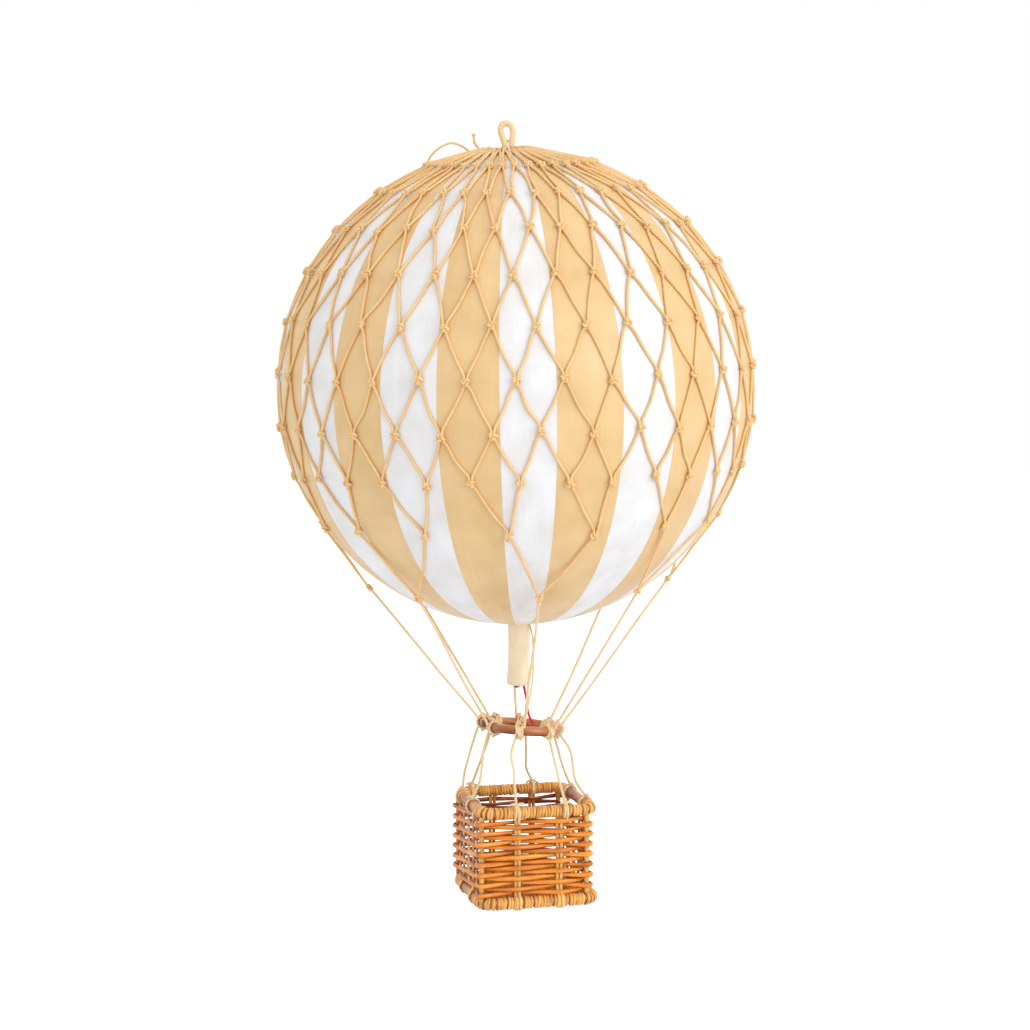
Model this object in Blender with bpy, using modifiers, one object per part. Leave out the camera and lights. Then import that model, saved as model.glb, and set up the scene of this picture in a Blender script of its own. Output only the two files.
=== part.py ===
"""Model hot air balloon that hangs by a cord loop.

A striped ball carries a knotted cord net. Eight load lines run from the net to a bent
rattan ring, and eight basket lines run from the ring to a square wicker basket.
The frame is +Z up with its origin where a hook bears in the hanging loop, and the
basket's front faces -Y. Sizes are in metres.
"""

import math

import bmesh
import bpy
from mathutils import Matrix, Vector

MM = 0.001
GAP = 0.3 * MM

# The side the balloon is looked at from lies this far to the left of the basket's front
VIEW_TURN = math.radians(14)

# Envelope
BALL_RADIUS = 90 * MM
BALL_DROP = 98.8 * MM
BALL_OFFSET = Vector((3.7 * MM, 8.5 * MM, -BALL_DROP))
GORES = 26
GORE_SEGMENTS = 2
BALL_RINGS = 26
LEAN_TO_VIEW = math.radians(5.2)
LEAN_TO_SIDE = math.radians(0.9)
FIRST_SEAM = math.radians(-3.5)

# Net: each row of knots has a latitude, a lean towards the view and a drift to the right, in degrees,
# and how much closer than even its knots stand on the view side
NET_CORD = 1.0 * MM
NET_RADIUS = BALL_RADIUS + 1.7 * MM
NET_ROLL = math.radians(1.2)
MESHES = 32
CROWN_ROW = (84.2, 6.5, -1.5, 0.2)
CROWN_LIFT = 0.5 * MM
KNOT_ROWS = (
    (69.7, 8.3, -2.8, 0.24),
    (57.0, 8.2, -0.9, 0.14),
    (43.2, 6.2, -0.5, 0.12),
    (31.4, 6.6, -0.4, 0.09),
    (18.4, 5.2, -0.7, 0.05),
    (5.0, 3.7, -0.5, 0.04),
    (-7.3, 2.5, -0.4, 0.02),
    (-19.5, 1.4, -0.2, 0.01),
)
PAIR_ROW = (-33.0, 1.5, 2.4, 0.0)
NET_PHASE = math.radians(0.5)
LINES = 8
KNOT_SHARE = 0.24
# How far round the knot of each load line strays from its even place, in degrees
LINE_DRIFTS = (2.2, -2.3, 0.4, -5.4, -1.0, -0.1, 4.3, 0.0)

# Hanging loop and the patch at its foot
LOOP_CORD = 2.2 * MM
LOOP_SHAPE = ((1.3, 0), (1.35, 0.12), (2.0, 0.45), (2.3, 0.68), (1.65, 0.91))
LOOP_SHIFT = 1.4 * MM
PATCH_RADIUS = 6.6 * MM
PATCH_TOP = 1.3 * MM

# Neck sleeve, its plug and the red tail
NECK_FOOT = Vector((0.9 * MM, 10.6 * MM, -115.2 * MM))
NECK_RADIUS = 4.2 * MM
NECK_WALL = 0.9 * MM
NECK_WAIST = 0.25 * MM
PLUG_RADIUS = 2.9 * MM
PLUG_LENGTH = 7 * MM
PLUG_SHOWS = 1.2 * MM
TAIL_FOOT = Vector((7.0 * MM, 6.5 * MM, -130.9 * MM))
TAIL_RADIUS = 0.6 * MM
TAIL_BOW = 1.2 * MM

# Rattan ring
RING_CENTRE = Vector((2.4 * MM, 0, -130.4 * MM))
RING_RADIUS = 13.5 * MM
RING_ROD = 1.8 * MM
RING_START = math.radians(-79)
RING_SWEEP = math.radians(371)
RING_OVERLAP = math.radians(75)
RING_SPREAD = 1.75 * MM
RING_RISE = 0.8 * MM
RING_TIP_SIDE = math.radians(4.9)
RING_TIP_BACK = math.radians(3)
RING_STEPS = 44

# Lashings and lines
LASHING_RADIUS = 2.9 * MM
LASHING_LENGTH = 3.2 * MM
LASHING_SIDES = 12
# Degrees round the ring from its front to each lashing
LASHING_PLACES = (-4.0, 46.5, 93.0, 131.0, 181.5, 230.0, 271.5, 301.5)
LINE_RADIUS = 0.5 * MM
LINE_STEPS = 8
KNOT_REACH = 1.3 * MM

# Basket
BASKET_OFFSET = Vector((7.2 * MM, 8.5 * MM, 0))
RIM_LEVEL = -258.2 * MM
RIM_HALF = 21.4 * MM
RIM_ROD = 2.2 * MM
RIM_CORNER = 4.8 * MM
FOOT_LEVEL = -292.5 * MM
FOOT_HALF = 21.8 * MM
FOOT_ROD = 2.3 * MM
FLOOR_THICK = 2 * MM
FLOOR_CORNER = 2.2 * MM
TIE_RADIUS = 2.95 * MM
TIE_LENGTH = 2.4 * MM
STAKE_PLACES = (-8.2 * MM, 8.2 * MM)
STAKE_HALF_WIDTH = 1.45 * MM
STAKE_HALF_THICK = 0.7 * MM
POST_RADIUS = 1.1 * MM
CANE_ROWS = 15
CANE_HALF_HEIGHT = 0.78 * MM
CANE_HALF_THICK = 0.6 * MM
BITE = 0.35 * MM
CANE_OUTSIDE_POST = POST_RADIUS + CANE_HALF_THICK - BITE
POST_PLACE = RIM_HALF - CANE_OUTSIDE_POST

# Where each basket line is tied: bar of the rim, share of its length, how far the line bows
# to the left of the view in millimetres, and the share of its length above the middle of the bow
TIES = (
    ("front", 0.295, 2.2, 0.25),
    ("front", 0.74, 0.3, 0.5),
    ("right", 0.25, 1.2, 0.55),
    ("right", 0.75, 0.9, 0.5),
    ("back", 0.7, 1.8, 0.74),
    ("back", 0.12, -1.0, 0.42),
    ("left", 0.85, 0.2, 0.5),
    ("left", 0.42, -0.8, 0.66),
)


def clear_scene():
    for old in list(bpy.data.objects):
        bpy.data.objects.remove(old)


def new_collection(name):
    collection = bpy.data.collections.new(name)
    bpy.context.scene.collection.children.link(collection)
    return collection


def finish(name, colour, roughness):
    """A Principled material with a linear colour."""
    material = bpy.data.materials.new(name)
    material.use_nodes = True
    shader = material.node_tree.nodes["Principled BSDF"]
    shader.inputs["Base Color"].default_value = (*colour, 1)
    shader.inputs["Roughness"].default_value = roughness
    shader.inputs["Metallic"].default_value = 0
    material.diffuse_color = (*colour, 1)
    return material


def from_view(x, y, z):
    """A place given as it is seen, x to the right and y away, in the part's frame."""
    return Matrix.Rotation(-VIEW_TURN, 3, "Z") @ Vector((x, y, z))


def show(obj, collection, material, parent=None):
    collection.objects.link(obj)
    if material is not None:
        obj.data.materials.append(material)
    if parent is not None:
        obj.parent = parent
        obj.matrix_parent_inverse = Matrix.Translation(-parent.location)
    return obj


def mesh_object(name, work):
    mesh = bpy.data.meshes.new(name)
    work.to_mesh(mesh)
    work.free()
    mesh.shade_smooth()
    mesh.set_sharp_from_angle(angle=math.radians(40))
    return bpy.data.objects.new(name, mesh)


def tube(name, points, radius, closed=False, resolution=2):
    """A round rod or cord along points."""
    curve = bpy.data.curves.new(name, "CURVE")
    curve.dimensions = "3D"
    curve.bevel_depth = radius
    curve.bevel_resolution = resolution
    curve.use_fill_caps = True
    spline = curve.splines.new("POLY")
    spline.points.add(len(points) - 1)
    for spot, place in zip(spline.points, points):
        spot.co = (*place, 1)
    spline.use_cyclic_u = closed
    return bpy.data.objects.new(name, curve)


def turned(name, profile, steps):
    """A profile of (radius, height) turned about its own Z. It runs down its outer side."""
    work = bmesh.new()
    verts = [work.verts.new((radius, 0, height)) for radius, height in profile]
    for first, second in zip(verts, verts[1:] + verts[:1]):
        if first.co.x > 0 or second.co.x > 0:
            work.edges.new((first, second))
    obj = mesh_object(name, work)
    screw = obj.modifiers.new("Turn", "SCREW")
    screw.axis = "Z"
    screw.steps = steps
    screw.render_steps = steps
    screw.use_merge_vertices = True
    screw.merge_threshold = 0.00001
    return obj


def barrel_profile(inner, outer, length):
    """A rounded collar with a bore, from its top down the outer side and up the bore."""
    half = length / 2
    belly = (outer - inner) / 2
    return [
        (inner, half),
        (inner + belly, half),
        (outer, half - belly),
        (outer, belly - half),
        (inner + belly, -half),
        (inner, -half),
    ]


def placed(obj, place, axis):
    """Puts an object at place with its own Z along axis."""
    obj.matrix_world = Matrix.Translation(place) @ axis.to_track_quat("Z", "Y").to_matrix().to_4x4()
    return obj


BALL_CENTRE = from_view(*BALL_OFFSET)
BALL_TURN = (
    Matrix.Rotation(-VIEW_TURN, 3, "Z")
    @ Matrix.Rotation(LEAN_TO_VIEW, 3, "X")
    @ Matrix.Rotation(-LEAN_TO_SIDE, 3, "Y")
)


def net_point(row, longitude, lift=0):
    """A point of the net. Longitude 0 faces the view and grows to the right."""
    latitude, lean, drift = (math.radians(angle) for angle in row[:3])
    longitude += drift - row[3] * math.sin(longitude + drift)
    radius = NET_RADIUS + lift
    level = math.cos(latitude) * radius
    spot = Vector((level * math.sin(longitude), -level * math.cos(longitude), math.sin(latitude) * radius))
    lay = Matrix.Rotation(-NET_ROLL, 3, "Y") @ Matrix.Rotation(lean, 3, "X")
    return BALL_CENTRE + from_view(*(lay @ spot))


def make_envelope(collection, white, tan):
    work = bmesh.new()
    bmesh.ops.create_uvsphere(
        work, u_segments=GORES * GORE_SEGMENTS, v_segments=BALL_RINGS, radius=BALL_RADIUS
    )
    gore = 2 * math.pi / GORES
    for face in work.faces:
        middle = face.calc_center_median()
        face.material_index = int((math.atan2(middle.y, middle.x) % (2 * math.pi)) / gore) % 2
    bmesh.ops.rotate(work, verts=work.verts, matrix=Matrix.Rotation(FIRST_SEAM - math.pi / 2, 3, "Z"))
    obj = show(mesh_object("envelope", work), collection, white)
    obj.data.materials.append(tan)
    obj.matrix_world = Matrix.Translation(BALL_CENTRE) @ BALL_TURN.to_4x4()


def row_longitude(row, step):
    """Knots of even rows and of odd rows stand half a mesh apart."""
    return NET_PHASE + (step + (row % 2) / 2) * 2 * math.pi / MESHES


def line_top(index):
    """Where the net's cords meet in the knot of one load line."""
    target = ring_place(index)
    bearing = NET_PHASE + math.radians(LINE_DRIFTS[index]) + (0.5 + 4 * index) * 2 * math.pi / MESHES
    out = from_view(math.sin(bearing), -math.cos(bearing), 0)
    away = target - BALL_CENTRE
    flat = Vector((away.x, away.y, 0)).dot(out)
    reach = math.hypot(flat, away.z)
    swing = math.acos(NET_RADIUS / reach) + math.atan2(flat, -away.z)
    touch = BALL_CENTRE + NET_RADIUS * (math.sin(swing) * out - math.cos(swing) * Vector((0, 0, 1)))
    return touch.lerp(target, KNOT_SHARE)


def make_net(collection, cord):
    """Diamond meshes from the crown ring down to the eight knots of the load lines."""
    work = bmesh.new()
    knots = [
        [
            work.verts.new(net_point(row, row_longitude(index, step), 0 if index else CROWN_LIFT))
            for step in range(MESHES)
        ]
        for index, row in enumerate((CROWN_ROW,) + KNOT_ROWS)
    ]
    last = len(KNOT_ROWS)

    def knot(row, step):
        return knots[row][step % MESHES]

    for step in range(MESHES):
        work.faces.new((knot(0, step), knot(1, step), knot(0, step + 1)))
    for row in range(last - 1):
        for step in range(MESHES):
            side = step if row % 2 == 0 else step + 1
            work.faces.new((knot(row, step), knot(row + 1, side - 1), knot(row + 2, step), knot(row + 1, side)))
    for line in range(LINES):
        first = 4 * line - 1
        pairs = []
        for start in (first, first + 2):
            pair = work.verts.new(net_point(PAIR_ROW, row_longitude(last, start + 0.5)))
            work.faces.new((knot(last - 1, start), knot(last, start), pair, knot(last, start + 1)))
            pairs.append(pair)
        end = work.verts.new(line_top(line))
        middle = knot(last - 1, first + 1)
        work.faces.new((middle, knot(last, first + 1), pairs[0], end, pairs[1], knot(last, first + 2)))
    bmesh.ops.recalc_face_normals(work, faces=work.faces)
    obj = show(mesh_object("net", work), collection, cord)
    wires = obj.modifiers.new("Cords", "WIREFRAME")
    wires.thickness = NET_CORD
    wires.offset = 0
    wires.use_even_offset = True
    wires.use_boundary = True
    wires.use_replace = True


def make_crown_patch(collection, patch):
    """A lens that lies on the ball inside the net's crown ring."""
    steps = 5
    foot = BALL_RADIUS + GAP
    under = []
    for step in range(steps + 1):
        radius = PATCH_RADIUS * step / steps
        under.append((radius, math.sqrt(foot ** 2 - radius ** 2)))
    top = BALL_RADIUS + PATCH_TOP
    profile = [(0, top), (PATCH_RADIUS * 0.6, top), (PATCH_RADIUS, top - 0.5 * MM)] + under[::-1]
    obj = show(turned("crown_patch", profile, 24), collection, patch)
    placed(obj, BALL_CENTRE, BALL_TURN @ Vector((0, 0, 1)))


def smooth(points, steps):
    """A smooth run through the points, with steps between each two."""
    ends = [2 * points[0] - points[1]] + list(points) + [2 * points[-1] - points[-2]]
    run = []
    for before, first, second, after in zip(ends, ends[1:], ends[2:], ends[3:]):
        for step in range(steps):
            share = step / steps
            lead = (second - before) / 2
            trail = (after - first) / 2
            run.append(
                first
                + lead * share
                + (3 * (second - first) - 2 * lead - trail) * share ** 2
                + (2 * (first - second) + lead + trail) * share ** 3
            )
    return run + [points[-1]]


def make_hanging_loop(collection, cream):
    """A teardrop of cord whose top is centred on the hook."""
    foot = BALL_CENTRE + BALL_TURN @ Vector((-LOOP_SHIFT, 0, BALL_RADIUS + PATCH_TOP + 1.5 * GAP))
    top = Vector((0, 0, LOOP_CORD / 2))
    right = from_view(1, 0, 0)
    left_leg = [foot.lerp(top, rise) - right * width * MM for width, rise in LOOP_SHAPE]
    right_leg = [foot.lerp(top, rise) + right * width * MM for width, rise in LOOP_SHAPE]
    points = smooth(left_leg + [top] + right_leg[::-1], 3)
    show(tube("hanging_loop", points, LOOP_CORD / 2), collection, cream)


def make_neck(collection, cream, knot, red):
    """The sleeve under the ball, the knot that plugs it, and the tail that hangs from it."""
    head = BALL_CENTRE + BALL_TURN @ Vector((0, 0, -BALL_RADIUS - GAP))
    foot = BALL_CENTRE + from_view(*NECK_FOOT)
    axis = (head - foot).normalized()
    length = (head - foot).length
    inner = NECK_RADIUS - NECK_WALL
    profile = [
        (NECK_RADIUS, length),
        (NECK_RADIUS, 0.8 * length),
        (NECK_RADIUS - NECK_WAIST, 0.35 * length),
        (NECK_RADIUS, 0.1 * length),
        (NECK_RADIUS + NECK_WAIST, 0),
        (inner, 0),
        (inner, length),
    ]
    placed(show(turned("neck_sleeve", profile, 24), collection, cream), foot, axis)
    bulge = PLUG_RADIUS * 0.6
    plug = [
        (0, PLUG_LENGTH),
        (bulge, PLUG_LENGTH),
        (PLUG_RADIUS, PLUG_LENGTH - 0.8 * MM),
        (PLUG_RADIUS, PLUG_SHOWS),
        (bulge, 0),
        (0, 0),
    ]
    plug_foot = foot - axis * PLUG_SHOWS
    placed(show(turned("neck_plug", plug, 16), collection, knot), plug_foot, axis)
    start = plug_foot - axis * GAP
    end = BALL_CENTRE + from_view(*TAIL_FOOT)
    points = []
    for step in range(LINE_STEPS + 1):
        share = step / LINE_STEPS
        points.append(start.lerp(end, share) + from_view(-TAIL_BOW * math.sin(math.pi * share), 0, 0))
    show(tube("red_tail", points, TAIL_RADIUS), collection, red)


RING_PLACE = BALL_CENTRE + from_view(*RING_CENTRE)
RING_TURN = (
    Matrix.Rotation(-VIEW_TURN, 3, "Z")
    @ Matrix.Rotation(-RING_TIP_BACK, 3, "X")
    @ Matrix.Rotation(RING_TIP_SIDE, 3, "Y")
)


def ring_spot(angle):
    """The middle of the ring's rod at an angle from the view side, growing to the right."""
    turned_by = (angle - RING_START) / RING_SWEEP
    into = max(0, 1 - turned_by * RING_SWEEP / RING_OVERLAP)
    out_of = max(0, 1 - (1 - turned_by) * RING_SWEEP / RING_OVERLAP)
    ease = into * into * (3 - 2 * into) - out_of * out_of * (3 - 2 * out_of)
    radius = RING_RADIUS - RING_SPREAD * ease
    spot = Vector((radius * math.sin(angle), -radius * math.cos(angle), -RING_RISE * ease))
    return RING_PLACE + RING_TURN @ spot


def lashing_angle(index):
    """Angles run once round the ring from just past its cut end."""
    angle = math.radians(LASHING_PLACES[index])
    while angle - RING_START > RING_SWEEP:
        angle -= 2 * math.pi
    return angle


def ring_place(index):
    return ring_spot(lashing_angle(index))


def make_ring(collection, rattan, cord, parent):
    """The bent rod with its two ends side by side, and the lashing of each line."""
    points = [ring_spot(RING_START + RING_SWEEP * step / RING_STEPS) for step in range(RING_STEPS + 1)]
    show(tube("load_ring", points, RING_ROD, resolution=3), collection, rattan, parent)
    for index in range(LINES):
        angle = lashing_angle(index)
        along = (ring_spot(angle + 0.05) - ring_spot(angle - 0.05)).normalized()
        profile = barrel_profile(RING_ROD + GAP, LASHING_RADIUS, LASHING_LENGTH)
        collar = show(turned(f"lashing_{index + 1}", profile, LASHING_SIDES), collection, cord, parent)
        placed(collar, ring_place(index), along)


def make_load_lines(collection, cord):
    for index in range(LINES):
        top = line_top(index)
        low = ring_place(index)
        along = (low - top).normalized()
        start = top + along * KNOT_REACH
        end = low - along * (LASHING_RADIUS + GAP)
        show(tube(f"load_line_{index + 1}", [start, end], LINE_RADIUS), collection, cord)


BASKET_CENTRE = from_view(*BASKET_OFFSET)


def square_path(half, level, corner, steps=4):
    """A level square with round corners about the basket's middle."""
    points = []
    for side in range(4):
        turn = Matrix.Rotation(side * math.pi / 2, 3, "Z")
        for step in range(steps + 1):
            angle = math.pi / 2 * step / steps
            spot = Vector((half - corner + corner * math.sin(angle), corner - half - corner * math.cos(angle), 0))
            points.append(BASKET_CENTRE + turn @ spot + Vector((0, 0, level)))
    return points


def tie_place(index):
    """The middle of the rim's rod where a basket line is tied, and the bar's direction."""
    bar, share, _, _ = TIES[index]
    along = RIM_HALF * (2 * share - 1)
    spots = {
        "front": (Vector((along, -RIM_HALF, RIM_LEVEL)), Vector((1, 0, 0))),
        "right": (Vector((RIM_HALF, along, RIM_LEVEL)), Vector((0, 1, 0))),
        "back": (Vector((along, RIM_HALF, RIM_LEVEL)), Vector((1, 0, 0))),
        "left": (Vector((-RIM_HALF, along, RIM_LEVEL)), Vector((0, 1, 0))),
    }
    place, direction = spots[bar]
    return BASKET_CENTRE + place, direction


def make_basket_lines(collection, cord, parent):
    for index in range(LINES):
        _, _, bow, middle = TIES[index]
        skew = math.log(0.5) / math.log(middle)
        tie, direction = tie_place(index)
        ring = ring_place(index)
        along = (tie - ring).normalized()
        start = ring + along * (LASHING_RADIUS + GAP)
        end = tie - along * (TIE_RADIUS + GAP)
        side = from_view(1, 0, 0)
        points = []
        for step in range(LINE_STEPS + 1):
            share = step / LINE_STEPS
            points.append(start.lerp(end, share) - side * bow * MM * math.sin(math.pi * share ** skew))
        show(tube(f"basket_line_{index + 1}", points, LINE_RADIUS), collection, cord, parent)
        profile = barrel_profile(RIM_ROD + GAP * 0.85, TIE_RADIUS, TIE_LENGTH)
        collar = show(turned(f"rim_tie_{index + 1}", profile, LASHING_SIDES), collection, cord, parent)
        placed(collar, tie, direction)


def cane_path(level, over_first):
    """One cane round the basket, outside every corner post and over and under the stakes."""
    swing = STAKE_HALF_THICK + CANE_HALF_THICK - BITE
    corner = POST_PLACE + CANE_OUTSIDE_POST * math.sqrt(0.5)
    points = []
    for side in range(4):
        turn = Matrix.Rotation(side * math.pi / 2, 3, "Z")
        first = swing if over_first else -swing
        low, high = STAKE_PLACES
        stretch = [
            (-POST_PLACE, 0),
            (low, first),
            ((low + high) / 2, 0),
            (high, -first),
            (POST_PLACE, 0),
        ]
        for along, out in stretch:
            points.append(turn @ Vector((along, -RIM_HALF - out, 0)))
        points.append(turn @ Vector((corner, -corner, 0)))
    return [BASKET_CENTRE + spot + Vector((0, 0, level)) for spot in points]


def as_mesh(obj):
    """The curve object made a mesh with its caps welded, in no collection."""
    bpy.context.scene.collection.objects.link(obj)
    graph = bpy.context.evaluated_depsgraph_get()
    mesh = bpy.data.meshes.new_from_object(obj.evaluated_get(graph))
    work = bmesh.new()
    work.from_mesh(mesh)
    bmesh.ops.remove_doubles(work, verts=work.verts, dist=1e-6)
    bmesh.ops.recalc_face_normals(work, faces=work.faces)
    work.to_mesh(mesh)
    work.free()
    made = bpy.data.objects.new(obj.name, mesh)
    bpy.data.objects.remove(obj)
    return made


def upright(name, place, half_x, half_y, low, high, sides):
    """A straight post with flat sides that lie at half_x and half_y from its middle."""
    work = bmesh.new()
    across = 1 / math.cos(math.pi / sides)
    bmesh.ops.create_cone(work, cap_ends=True, segments=sides, radius1=across, radius2=across, depth=high - low)
    bmesh.ops.rotate(work, verts=work.verts, matrix=Matrix.Rotation(math.pi / sides, 3, "Z"))
    bmesh.ops.scale(work, vec=(half_x, half_y, 1), verts=work.verts)
    obj = mesh_object(name, work)
    obj.location = place + Vector((0, 0, (low + high) / 2))
    return obj


def make_weave(collection, helpers, cane, parent):
    """Corner posts, stakes and canes joined into one woven wall."""
    top = RIM_LEVEL - TIE_RADIUS - GAP
    post_top = RIM_LEVEL - RIM_ROD - GAP
    foot = FOOT_LEVEL + FOOT_ROD + GAP
    shapes = []
    for x in (-POST_PLACE, POST_PLACE):
        for y in (-POST_PLACE, POST_PLACE):
            spot = BASKET_CENTRE + Vector((x, y, 0))
            shapes.append(upright("post", spot, POST_RADIUS, POST_RADIUS, foot, post_top, 8))
    for along in STAKE_PLACES:
        for away in (-RIM_HALF, RIM_HALF):
            spot = BASKET_CENTRE + Vector((along, away, 0))
            shapes.append(upright("stake", spot, STAKE_HALF_WIDTH, STAKE_HALF_THICK, foot, top, 4))
            spot = BASKET_CENTRE + Vector((away, along, 0))
            shapes.append(upright("stake", spot, STAKE_HALF_THICK, STAKE_HALF_WIDTH, foot, top, 4))
    pitch = (top - foot) / CANE_ROWS
    for row in range(CANE_ROWS):
        path = cane_path(top - pitch * (row + 0.5), row % 2 == 0)
        flat = [Vector((spot.x, spot.y, 0)) for spot in path]
        hoop = as_mesh(tube("cane", flat, CANE_HALF_THICK, closed=True, resolution=0))
        hoop.scale = (1, 1, CANE_HALF_HEIGHT / CANE_HALF_THICK)
        hoop.location.z = path[0].z
        shapes.append(hoop)
    base = shapes.pop(0)
    base.name = "basket_weave"
    for shape in shapes:
        helpers.objects.link(shape)
        shape.hide_render = True
        shape.display_type = "WIRE"
    show(base, collection, cane, parent)
    join = base.modifiers.new("Weave", "BOOLEAN")
    join.operation = "UNION"
    join.operand_type = "COLLECTION"
    join.collection = helpers
    join.solver = "EXACT"
    join.use_self = True


def make_basket(collection, helpers, rod, cane, parent):
    rim = square_path(RIM_HALF, RIM_LEVEL, RIM_CORNER)
    foot = square_path(FOOT_HALF, FOOT_LEVEL, RIM_CORNER)
    show(tube("basket_rim", rim, RIM_ROD, closed=True), collection, rod, parent)
    show(tube("basket_foot", foot, FOOT_ROD, closed=True), collection, rod, parent)
    half = FOOT_HALF - FOOT_ROD - GAP
    work = bmesh.new()
    bmesh.ops.create_cube(work, size=1)
    bmesh.ops.scale(work, vec=(2 * half, 2 * half, FLOOR_THICK), verts=work.verts)
    floor = mesh_object("basket_floor", work)
    floor.location = BASKET_CENTRE + Vector((0, 0, FOOT_LEVEL))
    show(floor, collection, cane, parent)
    corners = floor.modifiers.new("Corners", "BEVEL")
    corners.width = FLOOR_CORNER
    corners.segments = 2
    corners.affect = "EDGES"
    corners.limit_method = "WEIGHT"
    attribute = floor.data.attributes.new("bevel_weight_edge", "FLOAT", "EDGE")
    for edge in floor.data.edges:
        ends = [floor.data.vertices[index].co for index in edge.vertices]
        attribute.data[edge.index].value = 1 if abs(ends[0].z - ends[1].z) > MM else 0
    make_weave(collection, helpers, cane, parent)


def main():
    clear_scene()
    balloon = new_collection("model_hot_air_balloon")
    helpers = new_collection("joined_shapes")
    white = finish("white_paper", (0.78, 0.78, 0.79), 0.4)
    tan = finish("tan_paper", (0.70, 0.48, 0.22), 0.4)
    cord = finish("net_cord", (0.72, 0.44, 0.18), 0.8)
    line = finish("natural_line", (0.72, 0.56, 0.35), 0.85)
    cream = finish("cream_plastic", (0.80, 0.67, 0.46), 0.45)
    knot = finish("plug_knot", (0.35, 0.12, 0.04), 0.8)
    red = finish("red_tape", (0.65, 0.01, 0.02), 0.5)
    rattan = finish("rattan_rod", (0.35, 0.13, 0.05), 0.4)
    rod = finish("wrapped_rod", (0.55, 0.28, 0.09), 0.5)
    cane = finish("split_cane", (0.50, 0.17, 0.02), 0.35)

    ring_tilt = bpy.data.objects.new("ring_tilt_axis", None)
    basket_swing = bpy.data.objects.new("basket_swing_axis", None)
    for empty in (ring_tilt, basket_swing):
        balloon.objects.link(empty)
        empty.empty_display_size = 10 * MM
        empty.location = (BASKET_CENTRE.x, BASKET_CENTRE.y, RING_PLACE.z)
    bpy.context.view_layer.update()

    make_envelope(balloon, white, tan)
    make_net(balloon, cord)
    make_crown_patch(balloon, cream)
    make_hanging_loop(balloon, cream)
    make_neck(balloon, cream, knot, red)
    make_load_lines(balloon, line)
    make_ring(balloon, rattan, line, ring_tilt)
    make_basket_lines(balloon, line, basket_swing)
    make_basket(balloon, helpers, rod, cane, basket_swing)


main()
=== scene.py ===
"""Looks of a model hot air balloon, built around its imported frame.

A striped paper ball hangs by a cord loop in a knotted cord net. Eight load lines run from the net to a bent
rattan ring, and eight basket lines run from the ring to a square wicker basket. Sizes are in metres, +Z is up,
and the basket's front faces -Y.
"""

import logging
import math
from collections.abc import Sequence
from dataclasses import dataclass, field
from enum import Enum

import bmesh
import bpy
import numpy as np
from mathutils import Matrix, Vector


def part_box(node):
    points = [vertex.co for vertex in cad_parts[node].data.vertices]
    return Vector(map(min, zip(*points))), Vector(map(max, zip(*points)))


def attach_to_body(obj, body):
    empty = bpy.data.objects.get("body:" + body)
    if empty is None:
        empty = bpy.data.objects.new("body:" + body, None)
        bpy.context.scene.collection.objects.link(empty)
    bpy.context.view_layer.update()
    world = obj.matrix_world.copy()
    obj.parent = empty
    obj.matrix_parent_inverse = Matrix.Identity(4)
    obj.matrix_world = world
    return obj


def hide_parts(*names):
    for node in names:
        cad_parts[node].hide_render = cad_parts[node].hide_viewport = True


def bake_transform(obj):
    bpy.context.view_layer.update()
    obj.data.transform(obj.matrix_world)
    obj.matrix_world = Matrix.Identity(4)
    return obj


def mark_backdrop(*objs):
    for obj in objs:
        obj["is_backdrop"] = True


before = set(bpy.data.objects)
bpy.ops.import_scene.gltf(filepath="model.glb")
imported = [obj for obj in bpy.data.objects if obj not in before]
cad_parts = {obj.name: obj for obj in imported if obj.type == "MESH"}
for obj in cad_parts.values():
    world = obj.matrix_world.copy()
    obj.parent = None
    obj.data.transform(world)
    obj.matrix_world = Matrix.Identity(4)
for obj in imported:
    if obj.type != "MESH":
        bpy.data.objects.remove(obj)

MM = 0.001
TURN = 2 * math.pi
IMAGE_SIZE = 1030
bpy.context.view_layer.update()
log = logging.getLogger("balloon")

# The camera looks from this far to the left of the basket's front
VIEW_TURN = math.radians(14)
UP = np.array((0.0, 0.0, 1.0))


def turned_about(axis: str, angle: float) -> np.ndarray:
    """Gives the matrix of a turn about one axis.

    Args:
        axis: X, Y or Z.
        angle: The turn by the right-hand rule, in radians.

    Returns:
        A 3 by 3 matrix.
    """
    first, second = {"X": (1, 2), "Y": (2, 0), "Z": (0, 1)}[axis]
    matrix = np.eye(3)
    matrix[first, first] = matrix[second, second] = math.cos(angle)
    matrix[first, second] = -math.sin(angle)
    matrix[second, first] = math.sin(angle)
    return matrix


VIEW_FRAME = turned_about("Z", -VIEW_TURN)


def from_view(x: float, y: float, z: float) -> np.ndarray:
    """Gives a place in the frame.

    Args:
        x: To the right, as the camera sees it.
        y: Away from the camera.
        z: Up.

    Returns:
        The place, or the direction.
    """
    return VIEW_FRAME @ np.array((x, y, z), float)


def unit(vectors: np.ndarray) -> np.ndarray:
    """Gives vectors a length of one.

    Args:
        vectors: One vector, or one in each row.

    Returns:
        The same shape, scaled.
    """
    return vectors / np.maximum(np.linalg.norm(vectors, axis=-1, keepdims=True), 1e-12)


def middle_of(node: str) -> np.ndarray:
    """Gives the middle of a frame node's box.

    Args:
        node: The node's name.

    Returns:
        The box's middle.
    """
    low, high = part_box(node)
    return (np.array(low) + np.array(high)) / 2


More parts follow.
